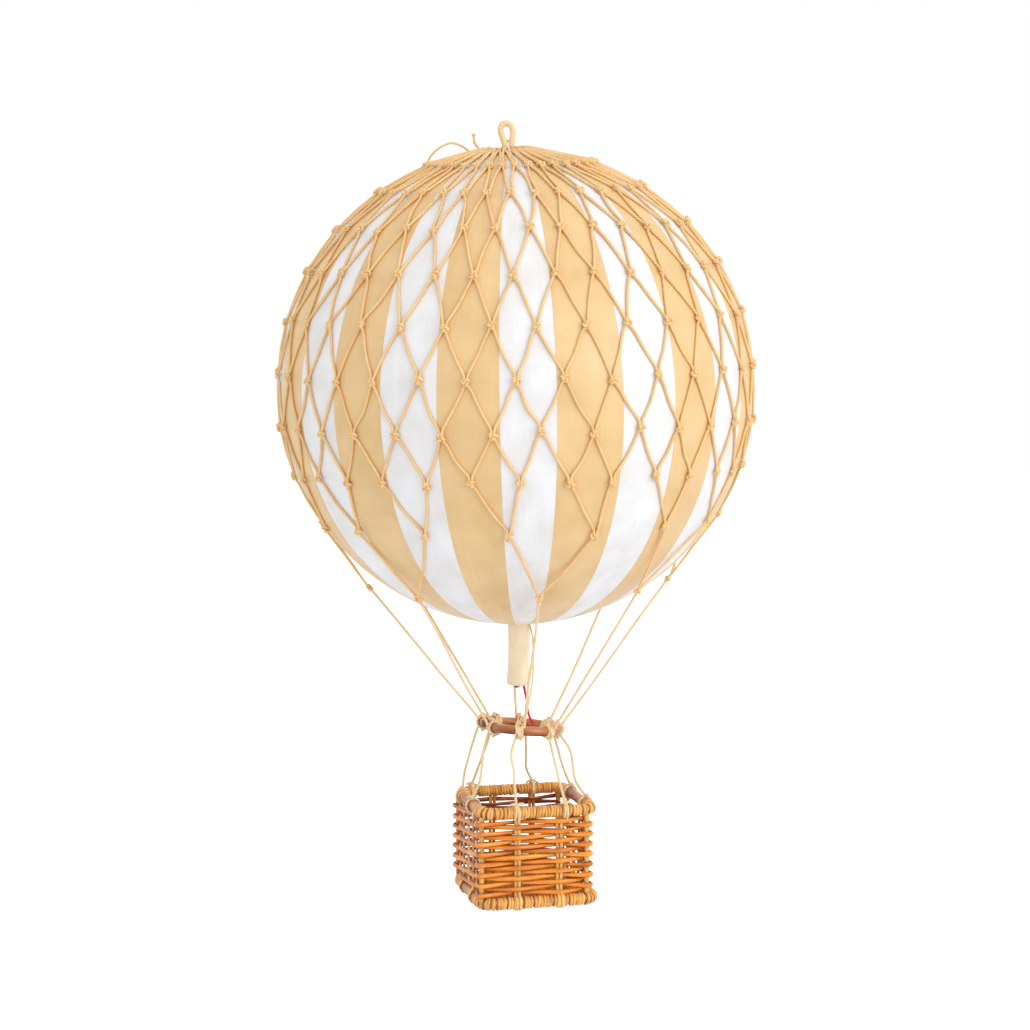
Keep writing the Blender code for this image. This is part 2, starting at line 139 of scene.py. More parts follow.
def smooth_run(points: Sequence[np.ndarray], steps: int, closed: bool = False) -> np.ndarray:
    """Runs a smooth curve through points.

    Args:
        points: What the curve passes through.
        steps: Samples from each point to the next.
        closed: Whether the last point leads back to the first.

    Returns:
        The samples, one in each row.
    """
    knots = np.array(points, float)
    if closed:
        ends = np.vstack((knots[-1:], knots, knots[:2]))
    else:
        ends = np.vstack((2 * knots[:1] - knots[1:2], knots, 2 * knots[-1:] - knots[-2:-1]))
    share = (np.arange(steps) / steps)[:, None]
    parts = []
    for before, first, second, after in zip(ends, ends[1:], ends[2:], ends[3:]):
        lead = (second - before) / 2
        trail = (after - first) / 2
        square = 3 * (second - first) - 2 * lead - trail
        cube = 2 * (first - second) + lead + trail
        parts.append(first + lead * share + square * share**2 + cube * share**3)
    if not closed:
        parts.append(knots[-1:])
    return np.vstack(parts)


def carried_normals(tangents: np.ndarray, closed: bool) -> np.ndarray:
    """Carries a side direction along a path without twisting it.

    Args:
        tangents: The path's directions.
        closed: Whether the end meets the start, where the twist that is left is shared out.

    Returns:
        One direction for each sample, square to the path.
    """
    start = np.cross(tangents[0], UP if abs(tangents[0][2]) < 0.9 else np.array((1.0, 0, 0)))
    normals = [start / np.linalg.norm(start)]
    for tangent in tangents[1:]:
        side = normals[-1] - tangent * (normals[-1] @ tangent)
        normals.append(side / np.linalg.norm(side))
    sides = np.array(normals)
    if not closed:
        return sides
    landed = sides[-1] - tangents[0] * (sides[-1] @ tangents[0])
    across = np.cross(tangents[0], sides[0])
    left = math.atan2(landed @ across, landed @ sides[0])
    angles = -left * np.arange(len(sides)) / len(sides)
    return sides * np.cos(angles)[:, None] + np.cross(tangents, sides) * np.sin(angles)[:, None]


@dataclass
class StrandMesh:
    """Strands swept along paths and gathered into one mesh.

    Each strand has a map called strand, with the length along it in millimetres and the share of the way
    round it, and a tone of its own from 0 to 1.
    """

    sides: int = 8
    verts: list[np.ndarray] = field(default_factory=list)
    faces: list[tuple[int, ...]] = field(default_factory=list)
    maps: list[tuple[float, float]] = field(default_factory=list)
    tones: list[float] = field(default_factory=list)
    ends: list[int] = field(default_factory=list)
    count: int = 0

    def sweep(
        self,
        path: np.ndarray,
        radius: float | np.ndarray,
        flat: float = 1.0,
        outward: np.ndarray | None = None,
        closed: bool = False,
        tone: float = 0.5,
        cut: bool = False,
    ) -> None:
        """Adds one strand.

        Args:
            path: The middle of the strand, one sample in each row.
            radius: Half its width, for all samples or for each.
            flat: Its thickness along outward as a share of its width.
            outward: The direction of its thin side, for all samples or for each.
            closed: Whether its end meets its start.
            tone: How light the strand is among its like.
            cut: Whether its ends are cut square and not rounded.
        """
        ahead = np.roll(path, -1, axis=0) - np.roll(path, 1, axis=0)
        if not closed:
            ahead[0] = path[1] - path[0]
            ahead[-1] = path[-1] - path[-2]
        tangents = unit(ahead)
        if outward is None:
            normals = carried_normals(tangents, closed)
        else:
            thin = np.broadcast_to(outward, path.shape)
            normals = unit(thin - tangents * np.sum(thin * tangents, axis=1, keepdims=True))
        widths = np.broadcast_to(np.asarray(radius, float), (len(path),)).copy()
        if not closed and not cut:
            path, tangents, normals, widths = self.rounded(path, tangents, normals, widths)
        sides = np.cross(tangents, normals)
        around = np.arange(self.sides) * TURN / self.sides
        ring = (
            normals[:, None, :] * (np.cos(around) * flat)[None, :, None]
            + sides[:, None, :] * np.sin(around)[None, :, None]
        )
        self.verts.append((path[:, None, :] + ring * widths[:, None, None]).reshape(-1, 3))
        steps = np.linalg.norm(np.diff(path, axis=0), axis=1)
        lengths = np.concatenate(((0,), np.cumsum(steps), (np.sum(steps) + steps[-1],))) / MM
        self.join(len(path), lengths, closed)
        self.tones += [tone] * (len(path) * self.sides)
        self.count += len(path) * self.sides

    @staticmethod
    def rounded(
        path: np.ndarray, tangents: np.ndarray, normals: np.ndarray, widths: np.ndarray
    ) -> tuple[np.ndarray, np.ndarray, np.ndarray, np.ndarray]:
        """Adds two smaller rings past each end.

        Args:
            path: The samples.
            tangents: Their directions.
            normals: Their thin sides.
            widths: Their half widths.

        Returns:
            The four, each four samples longer.
        """
        first, last = tangents[0] * widths[0], tangents[-1] * widths[-1]
        path = np.vstack((path[0] - 0.85 * first, path[0] - 0.5 * first, path, path[-1] + 0.5 * last))
        path = np.vstack((path, path[-1] + 0.35 * last))
        tangents = np.vstack((tangents[:1], tangents[:1], tangents, tangents[-1:], tangents[-1:]))
        normals = np.vstack((normals[:1], normals[:1], normals, normals[-1:], normals[-1:]))
        start, end = widths[0], widths[-1]
        return path, tangents, normals, np.concatenate(((0.45 * start, 0.85 * start), widths, (0.85 * end, 0.45 * end)))

    def join(self, rings: int, lengths: np.ndarray, closed: bool) -> None:
        """Joins the newest rings with faces.

        Args:
            rings: How many rings the strand has.
            lengths: The length along the strand at each ring, and one more.
            closed: Whether the last ring joins the first.
        """
        for ring in range(rings if closed else rings - 1):
            low = self.count + ring * self.sides
            high = self.count + (ring + 1) % rings * self.sides
            for side in range(self.sides):
                beside = (side + 1) % self.sides
                self.faces.append((low + side, low + beside, high + beside, high + side))
                near, far = side / self.sides, (side + 1) / self.sides
                here, there = lengths[ring], lengths[ring + 1]
                self.maps += [(here, near), (here, far), (there, far), (there, near)]
        if not closed:
            last = self.count + (rings - 1) * self.sides
            for start, order in ((self.count, range(self.sides - 1, -1, -1)), (last, range(self.sides))):
                self.ends.append(len(self.faces))
                self.faces.append(tuple(start + side for side in order))
                self.maps += [(0.0, side / self.sides) for side in order]

    def finish(self, name: str, *materials: bpy.types.Material) -> bpy.types.Object:
        """Makes the object.

        Args:
            name: Its name.
            materials: Its material, and one for its cut ends if there is a second.

        Returns:
            The object, in the scene.
        """
        mesh = bpy.data.meshes.new(name)
        mesh.from_pydata(np.vstack(self.verts).tolist(), [], self.faces)
        layer = mesh.uv_layers.new(name="strand")
        layer.data.foreach_set("uv", np.array(self.maps, np.float32).ravel())
        tone = mesh.attributes.new("tone", "FLOAT", "POINT")
        tone.data.foreach_set("value", np.array(self.tones, np.float32))
        mesh.shade_smooth()
        if len(materials) > 1:
            for face in self.ends:
                mesh.polygons[face].material_index = 1
        mesh.set_sharp_from_angle(angle=math.radians(60))
        return put(name, mesh, *materials)


def put(name: str, mesh: bpy.types.Mesh, *materials: bpy.types.Material) -> bpy.types.Object:
    """Puts a mesh in the scene.

    Args:
        name: The object's name.
        mesh: Its mesh.
        materials: Its materials, in the order of their slots.

    Returns:
        The object.
    """
    piece = bpy.data.objects.new(name, mesh)
    bpy.context.scene.collection.objects.link(piece)
    for material in materials:
        mesh.materials.append(material)
    return piece


def linear(colour: str) -> tuple[float, float, float, float]:
    """Turns an sRGB colour to linear light.

    Args:
        colour: Six hex digits after a hash.

    Returns:
        Red, green, blue and an alpha of one.
    """
    values = [int(colour[start : start + 2], 16) / 255 for start in (1, 3, 5)]
    light = [value / 12.92 if value <= 0.04045 else ((value + 0.055) / 1.055) ** 2.4 for value in values]
    return (light[0], light[1], light[2], 1.0)


def add_node(
    tree: bpy.types.NodeTree, kind: str, settings: dict[str, object], inputs: dict[str | int, object]
) -> bpy.types.Node:
    """Adds a node with its settings and links.

    Args:
        tree: The node tree.
        kind: The node's type.
        settings: Its properties.
        inputs: For each input, a number or colour, or the output that feeds it.

    Returns:
        The node.
    """
    node = tree.nodes.new(kind)
    for name, value in settings.items():
        setattr(node, name, value)
    for name, value in inputs.items():
        if isinstance(value, bpy.types.NodeSocket):
            tree.links.new(value, node.inputs[name])
        else:
            node.inputs[name].default_value = value
    return node


def blank_material(name: str) -> tuple[bpy.types.Material, bpy.types.NodeTree, bpy.types.Node]:
    """Makes a material with only its shader.

    Args:
        name: The material's name.

    Returns:
        The material, its node tree and its shader.
    """
    material = bpy.data.materials.new(name)
    material.use_nodes = True
    tree = material.node_tree
    return material, tree, tree.nodes["Principled BSDF"]


class Paper(Enum):
    """The two printed papers of the ball, with the colour of each."""

    WHITE = "#EBECEF"
    TAN = "#E6C38C"


@dataclass(frozen=True)
class VarnishedPaper:
    """Printed paper strips pasted on the ball and varnished: smooth, softly glossy, with faint lengthwise grain."""

    paper: Paper
    grain_width: float = 1.1
    mottle_width: float = 14.0
    roughness: float = 0.36

    def build(self) -> bpy.types.Material:
        """Makes the material, from the map of the gores in millimetres."""
        material, tree, shader = blank_material(f"varnished_{self.paper.name.lower()}_paper")
        gores = add_node(tree, "ShaderNodeUVMap", {"uv_map": "gores"}, {})
        # Strokes run from pole to pole, so the grain is drawn 25 times as long as it is wide
        strokes = add_node(
            tree,
            "ShaderNodeMapping",
            {},
            {"Vector": gores.outputs[0], "Scale": (1 / self.grain_width, 0.04 / self.grain_width, 1)},
        )
        grain = add_node(
            tree, "ShaderNodeTexNoise", {}, {"Vector": strokes.outputs[0], "Scale": 1.0, "Detail": 4.0}
        )
        mottle = add_node(
            tree, "ShaderNodeTexNoise", {}, {"Vector": gores.outputs[0], "Scale": 1 / self.mottle_width, "Detail": 3.0}
        )
        blend = add_node(
            tree,
            "ShaderNodeMath",
            {"operation": "MULTIPLY_ADD"},
            {0: grain.outputs[0], 1: 0.3, 2: mottle.outputs[0]},
        )
        base = linear(self.paper.value)
        shaded = (base[0] * 0.90, base[1] * 0.87, base[2] * 0.82, 1.0)
        bright = (min(1, base[0] * 1.05), min(1, base[1] * 1.06), min(1, base[2] * 1.09), 1.0)
        level = add_node(tree, "ShaderNodeMapRange", {}, {0: blend.outputs[0], 1: 0.4, 2: 0.9})
        colour = add_node(
            tree, "ShaderNodeMix", {"data_type": "RGBA"}, {0: level.outputs[0], 6: shaded, 7: bright}
        )
        bump = add_node(
            tree, "ShaderNodeBump", {}, {"Strength": 0.12, "Distance": 0.2 * MM, "Height": blend.outputs[0]}
        )
        tree.links.new(colour.outputs[2], shader.inputs["Base Color"])
        tree.links.new(bump.outputs[0], shader.inputs["Normal"])
        shader.inputs["Roughness"].default_value = self.roughness
        shader.inputs["Coat Weight"].default_value = 0.15
        shader.inputs["Coat Roughness"].default_value = 0.25
        return material


@dataclass(frozen=True)
class TwistedCord:
    """Cotton or jute cord of three plies: matt, with slanted valleys between the plies that are painted darker, and
    short fibres.
    """

    name: str
    light: str
    dark: str
    # The real plies are 0.5 mm apart, and are drawn wider so that they show
    ply_width: float = 0.8
    plies: int = 3
    depth: float = 0.16

    def build(self) -> bpy.types.Material:
        """Makes the material, from the map along the strand."""
        material, tree, shader = blank_material(self.name)
        strand = add_node(tree, "ShaderNodeUVMap", {"uv_map": "strand"}, {})
        parts = add_node(tree, "ShaderNodeSeparateXYZ", {}, {0: strand.outputs[0]})
        along = add_node(
            tree,
            "ShaderNodeMath",
            {"operation": "MULTIPLY"},
            {0: parts.outputs[0], 1: TURN / self.ply_width},
        )
        phase = add_node(
            tree,
            "ShaderNodeMath",
            {"operation": "MULTIPLY_ADD"},
            {0: parts.outputs[1], 1: TURN * self.plies, 2: along.outputs[0]},
        )
        wave = add_node(tree, "ShaderNodeMath", {"operation": "SINE"}, {0: phase.outputs[0]})
        height = add_node(
            tree, "ShaderNodeMapRange", {}, {0: wave.outputs[0], 1: -1.0, 2: 1.0, 3: 0.0, 4: 1.0}
        )
        fibre_map = add_node(
            tree, "ShaderNodeMapping", {}, {"Vector": strand.outputs[0], "Scale": (1.2, 9.0, 1.0)}
        )
        fibres = add_node(
            tree, "ShaderNodeTexNoise", {}, {"Vector": fibre_map.outputs[0], "Scale": 1.0, "Detail": 5.0}
        )
        drift = add_node(
            tree, "ShaderNodeTexNoise", {}, {"Vector": strand.outputs[0], "Scale": 0.11, "Detail": 2.0}
        )
        tone = add_node(tree, "ShaderNodeAttribute", {"attribute_name": "tone"}, {})
        spread = add_node(
            tree,
            "ShaderNodeMath",
            {"operation": "MULTIPLY_ADD"},
            {0: tone.outputs["Fac"], 1: 0.35, 2: drift.outputs[0]},
        )
        # Painted shade: the colour darkens in the valleys between the plies, and also varies with the cord's tone and a
        # slow drift along it
        shade = add_node(
            tree,
            "ShaderNodeMath",
            {"operation": "MULTIPLY_ADD"},
            {0: height.outputs[0], 1: 0.55, 2: spread.outputs[0]},
        )
        level = add_node(tree, "ShaderNodeMapRange", {}, {0: shade.outputs[0], 1: 0.35, 2: 1.1})
        colour = add_node(
            tree,
            "ShaderNodeMix",
            {"data_type": "RGBA"},
            {0: level.outputs[0], 6: linear(self.dark), 7: linear(self.light)},
        )
        rough = add_node(
            tree,
            "ShaderNodeMath",
            {"operation": "MULTIPLY_ADD"},
            {0: fibres.outputs[0], 1: 0.35, 2: height.outputs[0]},
        )
        bump = add_node(
            tree,
            "ShaderNodeBump",
            {},
            {"Strength": 0.9, "Distance": self.depth * MM, "Height": rough.outputs[0]},
        )
        tree.links.new(colour.outputs[2], shader.inputs["Base Color"])
        tree.links.new(bump.outputs[0], shader.inputs["Normal"])
        shader.inputs["Roughness"].default_value = 0.72
        shader.inputs["Specular IOR Level"].default_value = 0.3
        shader.inputs["Sheen Weight"].default_value = 0.08
        shader.inputs["Sheen Roughness"].default_value = 0.5
        return material


@dataclass(frozen=True)
class VarnishedStem:
    """Split cane or whole rattan under varnish: lengthwise fibres, with pale patches that are partly a painted
    highlight, and painted shade on the inner face.
    """

    name: str
    light: str
    middle: str
    dark: str
    fibre_width: float = 0.35
    roughness: float = 0.32
    coat: float = 0.4
    # Painted shade: how much lighter the outer face and darker the inner face are drawn
    painted_shade: float = 0.22

    def build(self) -> bpy.types.Material:
        """Makes the material, from the map along the strand."""
        material, tree, shader = blank_material(self.name)
        strand = add_node(tree, "ShaderNodeUVMap", {"uv_map": "strand"}, {})
        tone = add_node(tree, "ShaderNodeAttribute", {"attribute_name": "tone"}, {})
        # A stem is about 6 mm round, so the way round is stretched to that before its fibres are drawn
        fibre_map = add_node(
            tree,
            "ShaderNodeMapping",
            {},
            {"Vector": strand.outputs[0], "Scale": (0.035 / self.fibre_width, 2.2 / self.fibre_width, 1.0)},
        )
        shifted = add_node(
            tree,
            "ShaderNodeVectorMath",
            {"operation": "MULTIPLY_ADD"},
            {0: tone.outputs["Vector"], 1: (37.0, 17.0, 5.0), 2: fibre_map.outputs[0]},
        )
        fibres = add_node(
            tree, "ShaderNodeTexNoise", {}, {"Vector": shifted.outputs[0], "Scale": 1.0, "Detail": 4.0}
        )
        patch_map = add_node(
            tree, "ShaderNodeMapping", {}, {"Vector": strand.outputs[0], "Scale": (0.09, 1.6, 1.0)}
        )
        moved = add_node(
            tree,
            "ShaderNodeVectorMath",
            {"operation": "MULTIPLY_ADD"},
            {0: tone.outputs["Vector"], 1: (11.0, 23.0, 3.0), 2: patch_map.outputs[0]},
        )
        patches = add_node(
            tree, "ShaderNodeTexNoise", {}, {"Vector": moved.outputs[0], "Scale": 1.0, "Detail": 3.0}
        )
        shade = add_node(
            tree,
            "ShaderNodeMath",
            {"operation": "MULTIPLY_ADD"},
            {0: fibres.outputs[0], 1: 0.6, 2: patches.outputs[0]},
        )
        toned = add_node(
            tree,
            "ShaderNodeMath",
            {"operation": "MULTIPLY_ADD"},
            {0: tone.outputs["Fac"], 1: 0.6, 2: shade.outputs[0]},
        )
        # Painted light and shade: the colour is lighter on the side that faces out and darker on the side a half turn
        # from it
        parts = add_node(tree, "ShaderNodeSeparateXYZ", {}, {0: strand.outputs[0]})
        turn = add_node(tree, "ShaderNodeMath", {"operation": "MULTIPLY"}, {0: parts.outputs[1], 1: TURN})
        facing = add_node(tree, "ShaderNodeMath", {"operation": "COSINE"}, {0: turn.outputs[0]})
        toned_and_painted_shade = add_node(
            tree,
            "ShaderNodeMath",
            {"operation": "MULTIPLY_ADD"},
            {0: facing.outputs[0], 1: self.painted_shade, 2: toned.outputs[0]},
        )
        body = add_node(tree, "ShaderNodeMapRange", {}, {0: toned_and_painted_shade.outputs[0], 1: 0.85, 2: 1.35})
        # The lightest colour comes where fibres, patches and tone run high, and more on the outer face: pale patches
        # and painted highlight
        pale_patch_and_painted_highlight = add_node(tree, "ShaderNodeMapRange", {}, {0: toned_and_painted_shade.outputs[0], 1: 1.35, 2: 1.7})
        bark = add_node(
            tree,
            "ShaderNodeMix",
            {"data_type": "RGBA"},
            {0: body.outputs[0], 6: linear(self.dark), 7: linear(self.middle)},
        )
        colour = add_node(
            tree,
            "ShaderNodeMix",
            {"data_type": "RGBA"},
            {0: pale_patch_and_painted_highlight.outputs[0], 6: bark.outputs[2], 7: linear(self.light)},
        )
        bump = add_node(
            tree,
            "ShaderNodeBump",
            {},
            {"Strength": 0.45, "Distance": 0.12 * MM, "Height": fibres.outputs[0]},
        )
        tree.links.new(colour.outputs[2], shader.inputs["Base Color"])
        tree.links.new(bump.outputs[0], shader.inputs["Normal"])
        shader.inputs["Roughness"].default_value = self.roughness
        shader.inputs["Specular IOR Level"].default_value = 0.35
        shader.inputs["Coat Weight"].default_value = self.coat
        shader.inputs["Coat Roughness"].default_value = 0.15
        return material


@dataclass(frozen=True)
class MouldedCard:
    """Cream card rolled to a tube and varnished: even, soft, with a faint pressed grain."""

    name: str
    colour: str
    roughness: float = 0.45
    grain_width: float = 0.5

    def build(self) -> bpy.types.Material:
        """Makes the material, from the piece's own place."""
        material, tree, shader = blank_material(self.name)
        place = add_node(tree, "ShaderNodeTexCoord", {}, {})
        grain = add_node(
            tree,
            "ShaderNodeTexNoise",
            {},
            {"Vector": place.outputs["Object"], "Scale": 1 / (self.grain_width * MM), "Detail": 4.0},
        )
        mottle = add_node(
            tree,
            "ShaderNodeTexNoise",
            {},
            {"Vector": place.outputs["Object"], "Scale": 1 / (6 * MM), "Detail": 2.0},
        )
        base = linear(self.colour)
        ramp = add_node(tree, "ShaderNodeValToRGB", {}, {"Fac": mottle.outputs[0]})
        ramp.color_ramp.elements[0].position = 0.3
        ramp.color_ramp.elements[0].color = (base[0] * 0.92, base[1] * 0.9, base[2] * 0.86, 1.0)
        ramp.color_ramp.elements[1].position = 0.7
        ramp.color_ramp.elements[1].color = base
        bump = add_node(
            tree, "ShaderNodeBump", {}, {"Strength": 0.2, "Distance": 0.05 * MM, "Height": grain.outputs[0]}
        )
        tree.links.new(ramp.outputs[0], shader.inputs["Base Color"])
        tree.links.new(bump.outputs[0], shader.inputs["Normal"])
        shader.inputs["Roughness"].default_value = self.roughness
        shader.inputs["Subsurface Weight"].default_value = 0.1
        shader.inputs["Subsurface Radius"].default_value = (1.5 * MM, 1.0 * MM, 0.6 * MM)
        return material


@dataclass(frozen=True)
class CutGrain:
    """The sawn end of a stem: matt, with pores in a darker ring under the bark."""

    name: str
    light: str
    dark: str
    pore_width: float = 0.35

    def build(self) -> bpy.types.Material:
        """Makes the material, from the piece's own place."""
        material, tree, shader = blank_material(self.name)
        place = add_node(tree, "ShaderNodeTexCoord", {}, {})
        pores = add_node(
            tree,
            "ShaderNodeTexVoronoi",
            {},
            {"Vector": place.outputs["Object"], "Scale": 1 / (self.pore_width * MM)},
        )
        ramp = add_node(tree, "ShaderNodeValToRGB", {}, {"Fac": pores.outputs[0]})
        ramp.color_ramp.elements[0].position = 0.15
        ramp.color_ramp.elements[0].color = linear(self.dark)
        ramp.color_ramp.elements[1].position = 0.6
        ramp.color_ramp.elements[1].color = linear(self.light)
        bump = add_node(
            tree, "ShaderNodeBump", {}, {"Strength": 0.5, "Distance": 0.1 * MM, "Height": pores.outputs[0]}
        )
        tree.links.new(ramp.outputs[0], shader.inputs["Base Color"])
        tree.links.new(bump.outputs[0], shader.inputs["Normal"])
        shader.inputs["Roughness"].default_value = 0.8
        return material


@dataclass(frozen=True)
class DyedTape:
    """Woven polyester tape, dyed red: satin, with fine threads across it."""

    name: str = "dyed_red_tape"
    colour: str = "#D9141F"
    thread_gap: float = 0.35

    def build(self) -> bpy.types.Material:
        """Makes the material, from the map along the tape."""
        material, tree, shader = blank_material(self.name)
        strand = add_node(tree, "ShaderNodeUVMap", {"uv_map": "strand"}, {})
        parts = add_node(tree, "ShaderNodeSeparateXYZ", {}, {0: strand.outputs[0]})
        along = add_node(
            tree,
            "ShaderNodeMath",
            {"operation": "MULTIPLY"},
            {0: parts.outputs[0], 1: TURN / self.thread_gap},
        )
        threads = add_node(tree, "ShaderNodeMath", {"operation": "SINE"}, {0: along.outputs[0]})
        fade = add_node(
            tree, "ShaderNodeTexNoise", {}, {"Vector": strand.outputs[0], "Scale": 0.6, "Detail": 3.0}
        )
        base = linear(self.colour)
        ramp = add_node(tree, "ShaderNodeValToRGB", {}, {"Fac": fade.outputs[0]})
        ramp.color_ramp.elements[0].position = 0.3
        ramp.color_ramp.elements[0].color = (base[0] * 0.7, base[1] * 0.6, base[2] * 0.6, 1.0)
        ramp.color_ramp.elements[1].position = 0.7
        ramp.color_ramp.elements[1].color = base
        bump = add_node(
            tree, "ShaderNodeBump", {}, {"Strength": 0.4, "Distance": 0.06 * MM, "Height": threads.outputs[0]}
        )
        tree.links.new(ramp.outputs[0], shader.inputs["Base Color"])
        tree.links.new(bump.outputs[0], shader.inputs["Normal"])
        shader.inputs["Roughness"].default_value = 0.42
        shader.inputs["Sheen Weight"].default_value = 0.2
        return material


@dataclass(frozen=True)
class PaintedBoard:
    """White painted board of the studio floor: matt, with a faint roller mottle."""

    name: str = "painted_board"
    colour: str = "#FFFFFF"

    def build(self) -> bpy.types.Material:
        """Makes the material, from the floor's own place."""
        material, tree, shader = blank_material(self.name)
        place = add_node(tree, "ShaderNodeTexCoord", {}, {})
        roller = add_node(
            tree, "ShaderNodeTexNoise", {}, {"Vector": place.outputs["Object"], "Scale": 40.0, "Detail": 2.0}
        )
        base = linear(self.colour)
        ramp = add_node(tree, "ShaderNodeValToRGB", {}, {"Fac": roller.outputs[0]})
        ramp.color_ramp.elements[0].color = (base[0] * 0.99, base[1] * 0.99, base[2] * 0.99, 1.0)
        ramp.color_ramp.elements[1].color = base
        tree.links.new(ramp.outputs[0], shader.inputs["Base Color"])
        shader.inputs["Roughness"].default_value = 0.9
        shader.inputs["Emission Color"].default_value = (1, 1, 1, 1)
        shader.inputs["Emission Strength"].default_value = 0.6
        return material


@dataclass
class Studio:
    """The camera where the photograph's stood, soft light, and a plain pale floor."""

    sensor: float = 36 * MM
    focal_pixels: float = 1887
    pivot: tuple[float, float, float] = (3.4 * MM, 8.5 * MM, -147.03 * MM)
    distance: float = 727 * MM
    elevation: float = math.radians(3.5)
    floor_drop: float = 620 * MM
    surround: float = 0.95

    def place_camera(self) -> None:
        """Aims the camera at the middle of the picture."""
        lens = bpy.data.cameras.new("camera")
        lens.sensor_width = self.sensor / MM
        lens.lens = self.focal_pixels / IMAGE_SIZE * self.sensor / MM
        lens.clip_start = 10 * MM
        lens.clip_end = 100
        camera = bpy.data.objects.new("camera", lens)
        bpy.context.scene.collection.objects.link(camera)
        away = from_view(0, -math.cos(self.elevation), math.sin(self.elevation))
        camera.location = from_view(*self.pivot) + self.distance * away
        camera.rotation_euler = (math.pi / 2 - self.elevation, 0, -VIEW_TURN)
        bpy.context.scene.camera = camera

    def add_light(self, name: str, place: np.ndarray, size: float, power: float, colour: str) -> None:
        """Adds a soft square light that faces the balloon.

        Args:
            name: The light's name.
            place: Where it stands, from the picture's middle.
            size: Its side.
            power: Its strength in watts.
            colour: Its colour.
        """
        lamp = bpy.data.lights.new(name, "AREA")
        lamp.size = size
        lamp.energy = power
        lamp.color = linear(colour)[:3]
        light = bpy.data.objects.new(name, lamp)
        bpy.context.scene.collection.objects.link(light)
        light.location = from_view(*self.pivot) + place
        back = unit(place)
        light.rotation_euler = (math.acos(back[2]), 0, math.atan2(back[0], -back[1]))

    def light_up(self) -> None:
        """Lights the balloon from the right and front, in a surround that shows white and lights it a little less."""
        world = bpy.data.worlds.new("studio")
        bpy.context.scene.world = world
        world.use_nodes = True
        tree = world.node_tree
        back = tree.nodes["Background"]
        back.inputs["Color"].default_value = (1, 1, 1, 1)
        rays = add_node(tree, "ShaderNodeLightPath", {}, {})
        level = add_node(
            tree, "ShaderNodeMapRange", {}, {0: rays.outputs["Is Camera Ray"], 3: self.surround, 4: 1.0}
        )
        tree.links.new(level.outputs[0], back.inputs["Strength"])
        self.add_light("key", from_view(0.95, -0.85, 0.42), 1.1, 7.2, "#FFFCF6")
        bpy.context.scene.view_settings.view_transform = "Standard"

    def lay_floor(self) -> bpy.types.Object:
        """Lays the floor well under the basket.

        Returns:
            The floor.
        """
        sides = 96
        reach = 14.0
        around = np.arange(sides) * TURN / sides
        rim = np.stack((np.cos(around) * reach, np.sin(around) * reach, np.zeros(sides)), axis=1)
        mesh = bpy.data.meshes.new("studio_floor")
        mesh.from_pydata(rim.tolist(), [], [tuple(range(sides))])
        floor = put("studio_floor", mesh, PaintedBoard().build())
        floor.location = (0, 0, -self.floor_drop)
        floor.visible_diffuse = False
        floor.visible_glossy = False
        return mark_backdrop(floor)


BALL_CENTRE = middle_of("envelope")
BALL_RADIUS = 90 * MM
BALL_FRAME = VIEW_FRAME @ turned_about("X", math.radians(5.2)) @ turned_about("Y", math.radians(-0.9))


